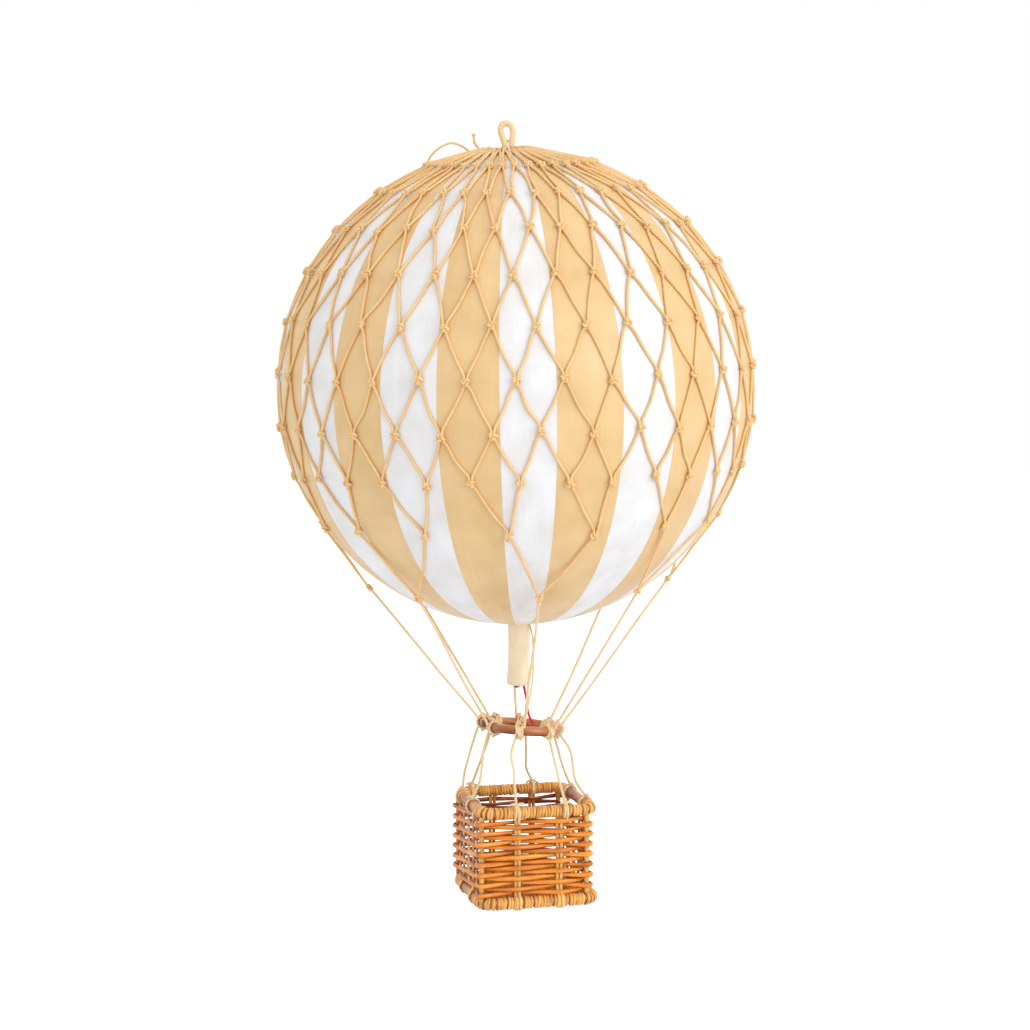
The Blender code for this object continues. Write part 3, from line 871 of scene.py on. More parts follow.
@dataclass
class Ball:
    """The striped ball, its crown patch, its hanging loop, and the sleeve, plug and tail under it."""

    gores: int = 26
    gore_steps: int = 8
    rings: int = 104
    first_seam: float = math.radians(-3.5)
    # One seam of the front white gore was pasted this much off its even place
    seam_stray: float = math.radians(-1.4)
    overlap: float = 0.1 * MM
    crown_height: float = 1.3 * MM
    loop_cord: float = 2.2 * MM
    loop_shift: float = 1.4 * MM
    neck_foot: tuple[float, float, float] = (0.9 * MM, 10.6 * MM, -115.2 * MM)
    neck_radius: float = 4.4 * MM
    neck_wall: float = 0.9 * MM
    tail_foot: tuple[float, float, float] = (7.0 * MM, 6.5 * MM, -130.9 * MM)

    def neck_line(self) -> tuple[np.ndarray, np.ndarray, float]:
        """Gives the sleeve's foot, its direction up to the ball, and its length."""
        head = BALL_CENTRE + BALL_FRAME @ (-UP * (BALL_RADIUS + 0.1 * MM))
        foot = BALL_CENTRE + from_view(*self.neck_foot)
        length = float(np.linalg.norm(head - foot))
        return foot, (head - foot) / length, length

    def skin(self) -> bpy.types.Object:
        """Builds the papered ball, whose tan gores overlap the white ones at each seam.

        Returns:
            The ball.
        """
        columns: list[tuple[float, float]] = []
        gore = TURN / self.gores
        for index in range(self.gores):
            level = BALL_RADIUS + (self.overlap if index % 2 else 0)
            for step in range(self.gore_steps + 1):
                columns.append((index + step / self.gore_steps, level))
        places = np.array([column for column, _ in columns])
        angles = self.first_seam - math.pi / 2 + places * gore + self.seam_stray * np.exp(-(((places - 1) / 0.6) ** 2))
        levels = np.array([level for _, level in columns])
        tilts = math.pi * np.arange(1, self.rings) / self.rings
        verts = np.stack(
            (
                np.sin(tilts)[:, None] * (np.cos(angles) * levels)[None, :],
                np.sin(tilts)[:, None] * (np.sin(angles) * levels)[None, :],
                np.cos(tilts)[:, None] * levels[None, :],
            ),
            axis=2,
        ).reshape(-1, 3)
        width = len(columns)
        top, foot = len(verts), len(verts) + 1
        verts = np.vstack((verts, UP * BALL_RADIUS, -UP * BALL_RADIUS))
        faces: list[tuple[int, ...]] = []
        maps: list[tuple[float, float]] = []
        papers: list[int] = []
        across = TURN * BALL_RADIUS / self.gores / MM
        down = math.pi * BALL_RADIUS / self.rings / MM
        for column in range(width):
            beside = (column + 1) % width
            index = int(columns[column][0]) % self.gores if (column + 1) % (self.gore_steps + 1) else -1
            paper = 1 if index == -1 else index % 2
            left = columns[column][0] * across + (column // (self.gore_steps + 1)) * 40
            right = left + across / self.gore_steps
            for row in range(self.rings - 2):
                high, low = row * width, (row + 1) * width
                faces.append((high + column, low + column, low + beside, high + beside))
                maps += [(left, -row * down), (left, -(row + 1) * down), (right, -(row + 1) * down), (right, -row * down)]
                papers.append(paper)
            faces.append((top, column, beside))
            maps += [(left, down), (left, 0), (right, 0)]
            low = (self.rings - 2) * width
            end = -(self.rings - 1) * down
            faces.append((foot, low + beside, low + column))
            maps += [(left, end), (right, end + down), (left, end + down)]
            papers += [paper, paper]
        mesh = bpy.data.meshes.new("striped_ball")
        mesh.from_pydata((verts @ BALL_FRAME.T + BALL_CENTRE).tolist(), [], faces)
        mesh.uv_layers.new(name="gores").data.foreach_set("uv", np.array(maps, np.float32).ravel())
        mesh.shade_smooth()
        papers_used = [VarnishedPaper(paper).build() for paper in Paper]
        ball = put("striped_ball", mesh, *papers_used)
        mesh.polygons.foreach_set("material_index", papers)
        mesh.set_sharp_from_angle(angle=math.radians(35))
        return ball

    def loop(self) -> bpy.types.Object:
        """Builds the hanging loop, a narrow teardrop of smooth cord."""
        rise = BALL_RADIUS + self.crown_height + 0.45 * MM
        foot = BALL_CENTRE + BALL_FRAME @ np.array((-self.loop_shift, 0, rise))
        top = UP * self.loop_cord / 2
        right = from_view(1, 0, 0)
        shape = ((1.3, 0), (1.35, 0.12), (2.0, 0.45), (2.3, 0.68), (1.65, 0.91))
        left_leg = [foot + (top - foot) * rise - right * width * MM for width, rise in shape]
        right_leg = [foot + (top - foot) * rise + right * width * MM for width, rise in shape]
        path = smooth_run(left_leg + [top] + right_leg[::-1], 6)
        strand = StrandMesh(sides=14)
        strand.sweep(path, self.loop_cord / 2, outward=from_view(0, -1, 0), cut=True)
        return strand.finish("loop_cord", self.loop_finish())

    @staticmethod
    def loop_finish() -> bpy.types.Material:
        """Gives the loop's waxed cotton cord, whose twist hardly shows."""
        return TwistedCord("waxed_cotton_cord", "#F0D8AC", "#E2C28C", ply_width=1.3, depth=0.02).build()

    def sleeve(self) -> bpy.types.Object:
        """Builds the sleeve as a tube with rounded lips."""
        foot, axis, length = self.neck_line()
        outer, inner = self.neck_radius, self.neck_radius - self.neck_wall
        profile = [
            (inner, length),
            (inner, 0.3 * MM),
            (inner + 0.25 * MM, 0),
            (outer, 0),
            (outer + 0.25 * MM, 0.25 * MM),
            (outer + 0.2 * MM, 0.06 * length),
            (outer, 0.16 * length),
            (outer - 0.22 * MM, 0.38 * length),
            (outer - 0.18 * MM, 0.6 * length),
            (outer, 0.8 * length),
            (outer + 0.1 * MM, length - 0.3 * MM),
            (outer - 0.1 * MM, length),
        ]
        return self.turned("cream_sleeve", profile, foot, axis, MouldedCard("rolled_cream_card", "#FBE9CB").build())

    def glue(self) -> bpy.types.Object:
        """Builds the uneven bead of dried glue where the sleeve meets the ball."""
        foot, axis, length = self.neck_line()
        around = np.arange(60) * TURN / 60
        side = unit(np.cross(axis, from_view(0, 1, 0)))
        spokes = np.outer(np.cos(around), side) + np.outer(np.sin(around), np.cross(axis, side))
        strand = StrandMesh(sides=8)
        line = foot + axis * (length - 0.1 * MM) + spokes * (self.neck_radius + 0.15 * MM)
        strand.sweep(line, (0.3 + 0.07 * np.sin(around * 5)) * MM, outward=axis, closed=True)
        return strand.finish("glue_bead", MouldedCard("dried_glue", "#C8843F", 0.3).build())

    def plug(self) -> bpy.types.Object:
        """Builds the knot that shows at the sleeve's mouth as a tied lump of cord."""
        foot, axis, _ = self.neck_line()
        strand = StrandMesh(sides=8)
        centre = foot + axis * 1.1 * MM + from_view(-0.3 * MM, -0.4 * MM, 0)
        add_knot(strand, centre, from_view(1, 0, 0), from_view(0, 0.35, 1), 2.3 * MM, 0.85 * MM, 0.3)
        return strand.finish("plug_knot", TwistedCord("brown_cord", "#9A5A30", "#4A2412", ply_width=0.9).build())

    def tail(self) -> bpy.types.Object:
        """Builds the red tape, which widens and turns towards its end."""
        foot, axis, _ = self.neck_line()
        start = foot + axis * 1.5 * MM + from_view(1.9 * MM, -1.2 * MM, 0)
        end = BALL_CENTRE + from_view(*self.tail_foot)
        drop = end - start
        points = [
            start,
            start + 0.25 * drop - from_view(0.3 * MM, 0, 0),
            start + 0.5 * drop - from_view(0.6 * MM, 0, 0),
            start + 0.8 * drop - from_view(0.9 * MM, 0, 0),
            end,
        ]
        path = smooth_run(points, 8)
        share = np.linspace(0, 1, len(path))
        strand = StrandMesh(sides=8)
        widths = (0.7 - 0.3 * np.sin(share * math.pi) + 0.2 * share**3) * MM
        twist = share * 0.8
        thin = np.outer(np.sin(twist), from_view(1, 0, 0)) - np.outer(np.cos(twist), from_view(0, 1, 0))
        strand.sweep(path, widths, flat=0.5, outward=thin, cut=True)
        return strand.finish("red_tape", DyedTape().build())

    def patch(self) -> bpy.types.Object:
        """Builds the card disc under the crown's gather."""
        foot = BALL_CENTRE
        axis = BALL_FRAME @ UP
        profile = [(0, BALL_RADIUS + self.crown_height)]
        for share in (0.3, 0.6, 0.85, 0.96, 1.0):
            radius = 6.4 * MM * share
            height = math.sqrt((BALL_RADIUS + self.crown_height * (1.0 - 0.6 * share**6)) ** 2 - radius**2)
            profile.append((radius, height))
        profile.append((6.4 * MM, math.sqrt((BALL_RADIUS + 0.12 * MM) ** 2 - (6.4 * MM) ** 2)))
        profile.append((0, BALL_RADIUS + 0.12 * MM))
        return self.turned("crown_disc", profile[::-1], foot, axis, MouldedCard("pressed_card", "#D9C49C", 0.7).build())

    @staticmethod
    def turned(
        name: str,
        profile: list[tuple[float, float]],
        foot: np.ndarray,
        axis: np.ndarray,
        material: bpy.types.Material,
    ) -> bpy.types.Object:
        """Turns a profile about an axis.

        Args:
            name: The piece's name.
            profile: Radius and height, running up the inside and down the outside, or up the outside.
            foot: Where height is zero.
            axis: The axis's direction.
            material: The piece's material.

        Returns:
            The piece.
        """
        steps = 48
        side = unit(np.cross(axis, from_view(0, 1, 0)))
        front = np.cross(axis, side)
        around = np.arange(steps) * TURN / steps
        spokes = np.outer(np.cos(around), side) + np.outer(np.sin(around), front)
        verts = [foot + spokes * radius + axis * height for radius, height in profile]
        faces = []
        for ring in range(len(profile)):
            here, there = ring * steps, (ring + 1) % len(profile) * steps
            if profile[ring][0] == 0 and profile[(ring + 1) % len(profile)][0] == 0:
                continue
            for step in range(steps):
                beside = (step + 1) % steps
                faces.append((here + step, here + beside, there + beside, there + step))
        mesh = bpy.data.meshes.new(name)
        mesh.from_pydata(np.vstack(verts).tolist(), [], faces)
        weld(mesh)
        mesh.shade_smooth()
        mesh.set_sharp_from_angle(angle=math.radians(50))
        return put(name, mesh, material)

    def dress(self) -> None:
        """Builds every piece and hangs it on its body."""
        pieces = {
            "envelope": (self.skin(), "striped_paper"),
            "crown_patch": (self.patch(), "cream_card"),
            "hanging_loop": (self.loop(), "cream_cord"),
            "neck_sleeve": (self.sleeve(), "cream_sleeve"),
            "neck_plug": (self.plug(), "plug_knot"),
            "red_tail": (self.tail(), "red_tape"),
        }
        for node, (piece, slot) in pieces.items():
            attach(piece, "envelope", slot, node)
        attach(self.glue(), "envelope", "cream_sleeve")


def weld(mesh: bpy.types.Mesh) -> None:
    """Joins points that lie together and turns faces outward.

    Args:
        mesh: The mesh, which is changed.
    """
    work = bmesh.new()
    work.from_mesh(mesh)
    bmesh.ops.remove_doubles(work, verts=work.verts, dist=0.001 * MM)
    bmesh.ops.recalc_face_normals(work, faces=work.faces)
    work.to_mesh(mesh)
    work.free()


def attach(piece: bpy.types.Object, body: str, slot: str, *nodes: str) -> None:
    """Makes a piece ride on a body and stand for frame nodes.

    Args:
        piece: The piece.
        body: The body's name.
        slot: A material slot's name, which is not used.
        nodes: The frame nodes that it replaces.
    """
    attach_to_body(piece, body)
    if nodes:
        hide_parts(*nodes)
    log.info("%s rides on %s", piece.name, body)


def knot_curve(samples: int = 34) -> np.ndarray:
    """Gives the closed line of an overhand knot, about 6 units across and 2 thick."""
    turn = np.arange(samples) * TURN / samples
    return np.stack(
        (np.sin(turn) + 2 * np.sin(2 * turn), np.cos(turn) - 2 * np.cos(2 * turn), -np.sin(3 * turn)), axis=1
    )


KNOT_LINE = knot_curve()


def add_knot(
    strand: StrandMesh,
    centre: np.ndarray,
    right: np.ndarray,
    up: np.ndarray,
    size: float,
    cord: float,
    tone: float,
    spin: float = 0.0,
    squat: float = 0.8,
) -> None:
    """Adds a knot.

    Args:
        strand: The strands that it joins.
        centre: Its middle.
        right: Its first direction.
        up: Its second direction.
        size: Its reach from its middle to the middle of its outer cord.
        cord: The cord's radius.
        tone: The cord's tone.
        spin: A turn in its own plane.
        squat: Its height as a share of its width.
    """
    line = KNOT_LINE @ turned_about("Z", spin).T
    out = np.cross(right, up)
    basis = np.stack((right * size / 3, up * squat * size / 3, out * size / 2.2), axis=1)
    strand.sweep(centre + line @ basis.T, cord, closed=True, tone=tone)


@dataclass(frozen=True)
class KnotRow:
    """One row of the net's knots.

    Latitude, lean towards the camera and drift to the right are in degrees. Bunch is how much closer than
    even its knots stand on the camera's side.
    """

    latitude: float
    lean: float
    bunch: float = 0.0
    drift: float = 0.0


@dataclass(frozen=True)
class Knot:
    """One knot: its middle, the directions to its right and up the ball, and its tone."""

    place: np.ndarray
    right: np.ndarray
    up: np.ndarray
    tone: float


@dataclass
class CordNet:
    """The knotted net, from the gather at the crown down to the eight knots of the load lines."""

    meshes: int = 32
    lines: int = 8
    cord: float = 0.5 * MM
    knot_size: float = 1.25 * MM
    knot_lift: float = 1.3 * MM
    phase: float = 0.5
    knot_share: float = 0.24
    roll: float = math.radians(1.2)
    crown_roll: float = math.radians(2.8)
    line_drifts: tuple[float, ...] = (2.2, -2.3, 0.4, -5.4, -1.0, -0.1, 4.3, 0.0)
    crown: KnotRow = KnotRow(84.2, 6.5, 0.2, -1.5)
    rows: tuple[KnotRow, ...] = (
        KnotRow(69.7, 8.3, 0.24, -2.8),
        KnotRow(57.0, 8.2, 0.14, -0.9),
        KnotRow(43.2, 6.2, 0.12, -0.5),
        KnotRow(31.4, 6.6, 0.09, -0.4),
        KnotRow(18.4, 5.2, 0.05, -0.7),
        KnotRow(5.0, 3.7, 0.04, -0.5),
        KnotRow(-7.3, 2.5, 0.02, -0.4),
        KnotRow(-19.5, 1.4, 0.01, -0.2),
    )
    pair_row: KnotRow = KnotRow(-33.0, 1.5, 0.0, 2.4)
    seed: int = 7

    def __post_init__(self) -> None:
        """Draws how far each knot strays, the same every time."""
        self.random = np.random.default_rng(self.seed)
        self.strays = self.random.uniform(-1, 1, (len(self.rows) + 2, self.meshes, 3))
        self.finish_cord = TwistedCord("twisted_jute_cord", "#FFDBA0", "#E0A05A").build()

    def knot(self, row: KnotRow, index: int, step: float) -> Knot:
        """Gives one knot.

        Args:
            row: Its row.
            index: The row's number from the crown.
            step: Its place round the row.

        Returns:
            The knot.
        """
        near, along, tone = self.strays[index, int(step) % self.meshes]
        ease = min(1.0, index / 3)
        longitude = math.radians(self.phase + row.drift) + (step + (index % 2) / 2) * TURN / self.meshes
        longitude -= row.bunch * math.sin(longitude)
        longitude += ease * near * 0.8 * MM / BALL_RADIUS
        latitude = math.radians(row.latitude) + ease * along * 1.0 * MM / BALL_RADIUS
        radius = BALL_RADIUS + self.knot_lift
        level = math.cos(latitude) * radius
        spot = (level * math.sin(longitude), -level * math.cos(longitude), math.sin(latitude) * radius)
        roll = self.roll if index else self.crown_roll
        lean = VIEW_FRAME @ turned_about("Y", -roll) @ turned_about("X", math.radians(row.lean))
        offset = lean @ np.array(spot)
        out = unit(offset)
        pole = lean @ UP
        rise = unit(pole - out * (pole @ out))
        return Knot(BALL_CENTRE + offset, np.cross(rise, out), rise, 0.5 + 0.3 * tone)

    def line_knot(self, line: int) -> Knot:
        """Gives the knot of one load line, a little off the ball."""
        target = RING.spot(RING.lashing_angle(line))
        bearing = math.radians(self.phase + self.line_drifts[line]) + (0.5 + 4 * line) * TURN / self.meshes
        out = from_view(math.sin(bearing), -math.cos(bearing), 0)
        away = target - BALL_CENTRE
        flat = away[:2] @ out[:2]
        radius = BALL_RADIUS + 1.7 * MM
        swing = math.acos(radius / math.hypot(flat, away[2])) + math.atan2(flat, -away[2])
        touch = BALL_CENTRE + radius * (math.sin(swing) * out - math.cos(swing) * UP)
        place = touch + (target - touch) * self.knot_share
        rise = unit(touch - target)
        return Knot(place, unit(np.cross(rise, unit(place - BALL_CENTRE))), rise, 0.5)

    def cord_line(self, upper: Knot, lower: Knot, side: float, hang: bool = False) -> np.ndarray:
        """Gives the line of the cord between two knots.

        Args:
            upper: The knot it leaves.
            lower: The knot it goes into, beside the other cord that does.
            side: 1 where the lower knot lies to the right, and -1 to the left.
            hang: Whether the cord leaves the ball on its way down.

        Returns:
            The line's samples.
        """
        run = lower.place - upper.place
        reach = float(np.linalg.norm(run))
        across = unit(np.cross(unit(upper.place - BALL_CENTRE), run))
        bow = self.random.uniform(-0.45, 0.45, 2) * MM * min(1.0, reach / (14 * MM))
        tight = min(1.0, reach / (10 * MM))
        points = [
            upper.place - upper.up * 0.3 * MM + upper.right * side * 0.25 * MM,
            upper.place + run * 0.2 + upper.right * side * (0.25 * MM) + across * bow[0],
            upper.place + run * 0.52 + across * (bow[0] + bow[1]),
            lower.place + (lower.up * 3.0 - lower.right * side * 0.95) * MM * tight,
            lower.place + (lower.up * 1.3 - lower.right * side * 0.5) * MM * tight,
            lower.place - lower.right * side * 0.2 * MM,
        ]
        line = smooth_run(points, 3)
        offset = line - BALL_CENTRE
        heights = np.linalg.norm(offset, axis=1)
        near = np.minimum(np.linalg.norm(line - upper.place, axis=1), np.linalg.norm(line - lower.place, axis=1))
        ground = BALL_RADIUS + self.cord + 0.12 * MM
        level = ground + (self.knot_lift - self.cord) * np.exp(-((near / (1.7 * MM)) ** 2))
        if hang:
            level = np.maximum(level, heights)
        return BALL_CENTRE + offset / heights[:, None] * level[:, None]

    def crown_line(self, crown: Knot, lower: Knot, side: float) -> np.ndarray:
        """Gives the line of a cord that goes over the crown's ring cord and down to a knot.

        Args:
            crown: Where it crosses the ring cord.
            lower: The knot it goes into.
            side: 1 where the lower knot lies to the right, and -1 to the left.

        Returns:
            The line's samples.
        """
        out = unit(crown.place - BALL_CENTRE)
        run = lower.place - crown.place
        lift = out * self.random.normal(0, 0.14) * MM
        points = [
            crown.place + crown.up * 1.1 * MM - out * 0.7 * MM,
            crown.place + crown.up * 0.6 * MM + lift,
            crown.place - crown.up * 0.9 * MM + lift,
            crown.place + run * 0.35 + out * 0.3 * MM,
            crown.place + run * 0.7 + out * 0.2 * MM - lower.right * side * 0.2 * MM,
            lower.place + lower.up * 1.3 * MM - lower.right * side * 0.5 * MM,
            lower.place - lower.right * side * 0.2 * MM,
        ]
        return smooth_run(points, 3)

    def build(self) -> tuple[bpy.types.Object, bpy.types.Object]:
        """Builds the cords and the knots.

        Returns:
            The cords, then the knots.
        """
        cords = StrandMesh(sides=8)
        knots = StrandMesh(sides=6)
        rows = (self.crown,) + self.rows
        table = [[self.knot(row, index, step) for step in range(self.meshes)] for index, row in enumerate(rows)]
        for step in range(self.meshes):
            lower = table[1][step]
            cords.sweep(self.crown_line(table[0][step], lower, 1), self.cord, tone=self.tone())
            cords.sweep(self.crown_line(table[0][(step + 1) % self.meshes], lower, -1), self.cord, tone=self.tone())
        for index in range(1, len(self.rows)):
            for step in range(self.meshes):
                left, right = (step - 1, step) if index % 2 == 0 else (step, step + 1)
                upper = table[index][step]
                for beside, side in ((left, -1), (right, 1)):
                    lower = table[index + 1][beside % self.meshes]
                    cords.sweep(self.cord_line(upper, lower, side), self.cord, tone=self.tone())
        tied = [knot for row in table[1:] for knot in row]
        last = table[-1]
        for line in range(self.lines):
            end = self.line_knot(line)
            tied.append(end)
            for start, side in ((4 * line - 1, 1), (4 * line + 1, -1)):
                pair = self.knot(self.pair_row, len(self.rows), start % self.meshes + 0.5)
                tied.append(pair)
                cords.sweep(self.cord_line(last[start % self.meshes], pair, 1), self.cord, tone=self.tone())
                cords.sweep(self.cord_line(last[(start + 1) % self.meshes], pair, -1), self.cord, tone=self.tone())
                cords.sweep(self.cord_line(pair, end, side, hang=True), self.cord, tone=self.tone())
        for knot in tied:
            size = self.knot_size * self.random.uniform(0.9, 1.15)
            spin = self.random.uniform(0, TURN)
            add_knot(knots, knot.place, knot.right, knot.up, size, 0.52 * MM, self.tone(), spin, 1.0)
        self.add_gather(cords, table[0])
        return cords.finish("net_cords", self.finish_cord), knots.finish("net_knots", self.finish_cord)

    def tone(self) -> float:
        """Draws a cord's tone."""
        return float(self.random.uniform(0.25, 0.75))

    def add_gather(self, cords: StrandMesh, crown: list[Knot]) -> None:
        """Adds the ring cord under the crown's loops and the loose ends of its knot.

        Args:
            cords: The strands that they join.
            crown: Where the net's cords cross the ring cord.
        """
        ring = [knot.place - unit(knot.place - BALL_CENTRE) * 0.75 * MM for knot in crown]
        cords.sweep(smooth_run(ring, 3, closed=True), 0.45 * MM, outward=BALL_FRAME @ UP, closed=True, tone=0.5)
        ball = BALL_CENTRE
        arc = [(-33.5, -10, 82.5), (-32.5, -10, 86.5), (-29, -10, 90.3)]
        arc += [(-24.5, -9, 92.4), (-20, -8, 91.2), (-16.5, -7, 88.6)]
        tail = [(-12.6, -4, 89.6), (-14.2, -4.4, 91.2), (-15.6, -4.6, 93.2), (-15.9, -4.7, 95.4)]
        stub = [(-5.8, -8, 90.2), (-4.2, -8.2, 91.6), (-3.0, -8.4, 93.4)]
        for points, radius in ((arc, 0.38), (tail, 0.42), (stub, 0.45)):
            line = smooth_run([ball + from_view(*point) * MM for point in points], 6)
            cords.sweep(line, radius * MM, outward=from_view(0, -1, 0), tone=0.4)
        add_knot(cords, ball + from_view(-16.0, -4.7, 95.9) * MM, from_view(1, 0, 0), UP, 0.5 * MM, 0.3 * MM, 0.4)

    def dress(self) -> None:
        """Builds the net and hangs it on the ball."""
        cords, knots = self.build()
        attach(cords, "envelope", "net_cord", "net")
        attach(knots, "envelope", "net_cord")


def add_hitch(
    strand: StrandMesh,
    centre: np.ndarray,
    along: np.ndarray,
    up: np.ndarray,
    rod: float,
    cord: float,
    turns: float,
    spread: float,
    tone: float,
    crossing: float = 0.5,
) -> None:
    """Adds cord wound on a rod, in turns that run out and back so that they cross.

    Args:
        strand: The strands that it joins.
        centre: The middle of the rod where it is wound.
        along: The rod's direction.
        up: Where its ends lie.
        rod: The rod's radius.
        cord: The cord's radius.
        turns: How often it goes round.
        spread: Its reach along the rod each way.
        tone: The cord's tone.
        crossing: How often it runs out and back for each turn.
    """
    rise = unit(up - along * (along @ up))
    side = np.cross(along, rise)
    angle = np.linspace(0, TURN * turns, int(turns * 16) + 1)
    shift = spread * np.sin(angle * crossing + 0.6)
    pile = cord * (0.95 + 0.35 * np.sin(angle * 0.37 + 1.0))
    spokes = np.outer(np.cos(angle), rise) + np.outer(np.sin(angle), side)
    line = centre + spokes * (rod + pile)[:, None] + np.outer(shift, along)
    strand.sweep(line, cord, outward=spokes, tone=tone)


@dataclass
class LoadRing:
    """The bent rattan ring, whose two ends lie side by side, with the lashing of each line."""

    centre: tuple[float, float, float] = (2.4 * MM, 0, -130.4 * MM)
    radius: float = 13.5 * MM
    rod: float = 1.8 * MM
    start: float = math.radians(-79)
    sweep: float = math.radians(371)
    overlap: float = math.radians(75)
    spread: float = 1.75 * MM
    rise: float = 0.8 * MM
    tip_side: float = math.radians(4.9)
    tip_back: float = math.radians(3)
    lines: int = 8
    # Degrees from the camera's side, and how far to the right of its lashing each load line comes down
    lashing_places: tuple[float, ...] = (-4.0, 46.5, 93.0, 131.0, 181.5, 230.0, 271.5, 296.0)
    line_shifts: tuple[float, ...] = (1.5, 1.8, 0.7, 0.0, -1.5, -1.2, -0.7, -1.6)
    line_cord: float = 0.52 * MM
    lashing_cord: float = 0.43 * MM
    seed: int = 3

    def spot(self, angle: float) -> np.ndarray:
        """Gives the middle of the rod.

        Args:
            angle: From the camera's side, growing to the right.

        Returns:
            The place.
        """
        turned_by = angle - self.start
        into = max(0.0, 1 - turned_by / self.overlap)
        out_of = max(0.0, 1 - (self.sweep - turned_by) / self.overlap)
        ease = into * into * (3 - 2 * into) - out_of * out_of * (3 - 2 * out_of)
        radius = self.radius - self.spread * ease
        turn = VIEW_FRAME @ turned_about("X", -self.tip_back) @ turned_about("Y", self.tip_side)
        flat = np.array((radius * math.sin(angle), -radius * math.cos(angle), -self.rise * ease))
        return BALL_CENTRE + from_view(*self.centre) + turn @ flat

    def lashing_angle(self, line: int) -> float:
        """Gives the angle of one line's lashing."""
        angle = math.radians(self.lashing_places[line])
        while angle - self.start > self.sweep:
            angle -= TURN
        return angle

    def along(self, angle: float) -> np.ndarray:
        """Gives the rod's direction at an angle."""
        return unit(self.spot(angle + 0.05) - self.spot(angle - 0.05))

    def rattan(self) -> bpy.types.Object:
        """Builds the rod, which swells a little at the stem's joints and is sawn at its ends."""
        steps = 170
        share = np.linspace(0, 1, steps)
        path = np.array([self.spot(self.start + self.sweep * step) for step in share])
        swell = 1 + 0.035 * np.sin(share * 31) + 0.05 * np.exp(-(((share - 0.56) / 0.012) ** 2))
        strand = StrandMesh(sides=20)
        # With its thin side up, the stem material paints the top lighter and the underside darker: painted light and
        # shade
        strand.sweep(path, self.rod * swell, outward=UP, tone=0.4, cut=True)
        bark = VarnishedStem("varnished_rattan", "#FFC48A", "#D88A50", "#7A3A18", 0.5, 0.28, 0.5)
        return strand.finish("rattan_ring", bark.build(), CutGrain("sawn_rattan", "#9C6A4E", "#4A2A20").build())

    def lashing(self, line: int, random: np.random.Generator, material: bpy.types.Material) -> bpy.types.Object:
        """Builds one lashing: crossed turns, with a knot above and below.

        Args:
            line: Which line's.
            random: Where its looseness is drawn from.
            material: The cord's material.

        Returns:
            The lashing.
        """
        angle = self.lashing_angle(line)
        centre, along = self.spot(angle), self.along(angle)
        strand = StrandMesh(sides=8)
        turns = 4.0 + random.uniform(0, 0.6)
        add_hitch(strand, centre, along, UP, self.rod, self.lashing_cord, turns, 1.3 * MM, 0.65, 0.42)
        add_hitch(strand, centre, along, -UP, self.rod + 0.45 * MM, self.lashing_cord, 2.2, 1.35 * MM, 0.55, 1.1)
        out = unit(centre - (BALL_CENTRE + from_view(*self.centre)))
        for end in (1, -1):
            spot = centre + UP * end * (self.rod + 1.1 * MM) + along * random.uniform(-0.8, 0.8) * MM + out * 0.5 * MM
            add_knot(strand, spot, along, UP, 0.75 * MM, self.lashing_cord, 0.55, random.uniform(0, TURN), 0.9)
        return strand.finish(f"ring_lashing_{line + 1}", material)

    def load_line(self, line: int, net: CordNet, material: bpy.types.Material) -> bpy.types.Object:
        """Builds one load line.

        Args:
            line: Which one.
            net: The net whose knot it leaves.
            material: The cord's material.

        Returns:
            The line, which runs with slight bows from the ball to the ring.
        """
        start = net.line_knot(line).place
        angle = self.lashing_angle(line)
        ring = self.spot(angle)
        end = ring + unit(start - ring) * (self.rod + 0.9 * MM) + from_view(self.line_shifts[line] * MM, 0, 0)
        run = end - start
        across = unit(np.cross(run, UP))
        points = [
            start,
            start + run * 0.3 + across * 0.25 * MM,
            start + run * 0.65 - UP * 0.3 * MM - across * 0.2 * MM,
            end + (start - ring) * 0.03,
            end - UP * 0.6 * MM,
        ]
        strand = StrandMesh(sides=8)
        path = smooth_run(points, 10)
        strand.sweep(path, self.line_cord, outward=across, tone=0.6)
        if line == 0:
            strand.sweep(self.side_cord(path), 0.36 * MM, outward=from_view(1, 0, 0), tone=0.6)
        piece = strand.finish(f"load_cord_{line + 1}", material)
        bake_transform(piece)
        return piece

    def side_cord(self, path: np.ndarray) -> np.ndarray:
        """Gives the thinner cord that comes down beside the sleeve and joins the front load line.

        Args:
            path: The front load line.

        Returns:
            The cord's samples.
        """
        route = [(5.2, 6.0, -90.4), (6.5, 2.9, -96.0), (6.8, -1.5, -104.6), (6.2, -5.2, -113.0)]
        joined = path[int(0.78 * len(path))]
        return smooth_run([BALL_CENTRE + from_view(*place) * MM for place in route] + [joined], 8)

    def dress(self, net: CordNet) -> None:
        """Builds the ring, its lashings and the load lines.

        Args:
            net: The net above.
        """
        random = np.random.default_rng(self.seed)
        cord = natural_cord()
        attach(self.rattan(), "ring", "rattan_rod", "load_ring")
        for line in range(self.lines):
            attach(self.lashing(line, random, cord), "ring", "natural_line", f"lashing_{line + 1}")
            piece = self.load_line(line, net, cord)
            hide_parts(f"load_line_{line + 1}")
            log.info("%s bends between envelope and ring", piece.name)


def natural_cord() -> bpy.types.Material:
    """Gives the paler cord of the lines and lashings."""
    return TwistedCord("natural_cotton_cord", "#FFE6BC", "#DBA666", ply_width=0.75).build()


RING = LoadRing()


class Bar(Enum):
    """The four bars of the rim and of the foot, each with the turn from the front one."""

    FRONT = 0
    RIGHT = 1
    BACK = 2
    LEFT = 3

    def turn(self) -> np.ndarray:
        """Gives the turn from the front bar to this one."""
        return turned_about("Z", self.value * math.pi / 2)


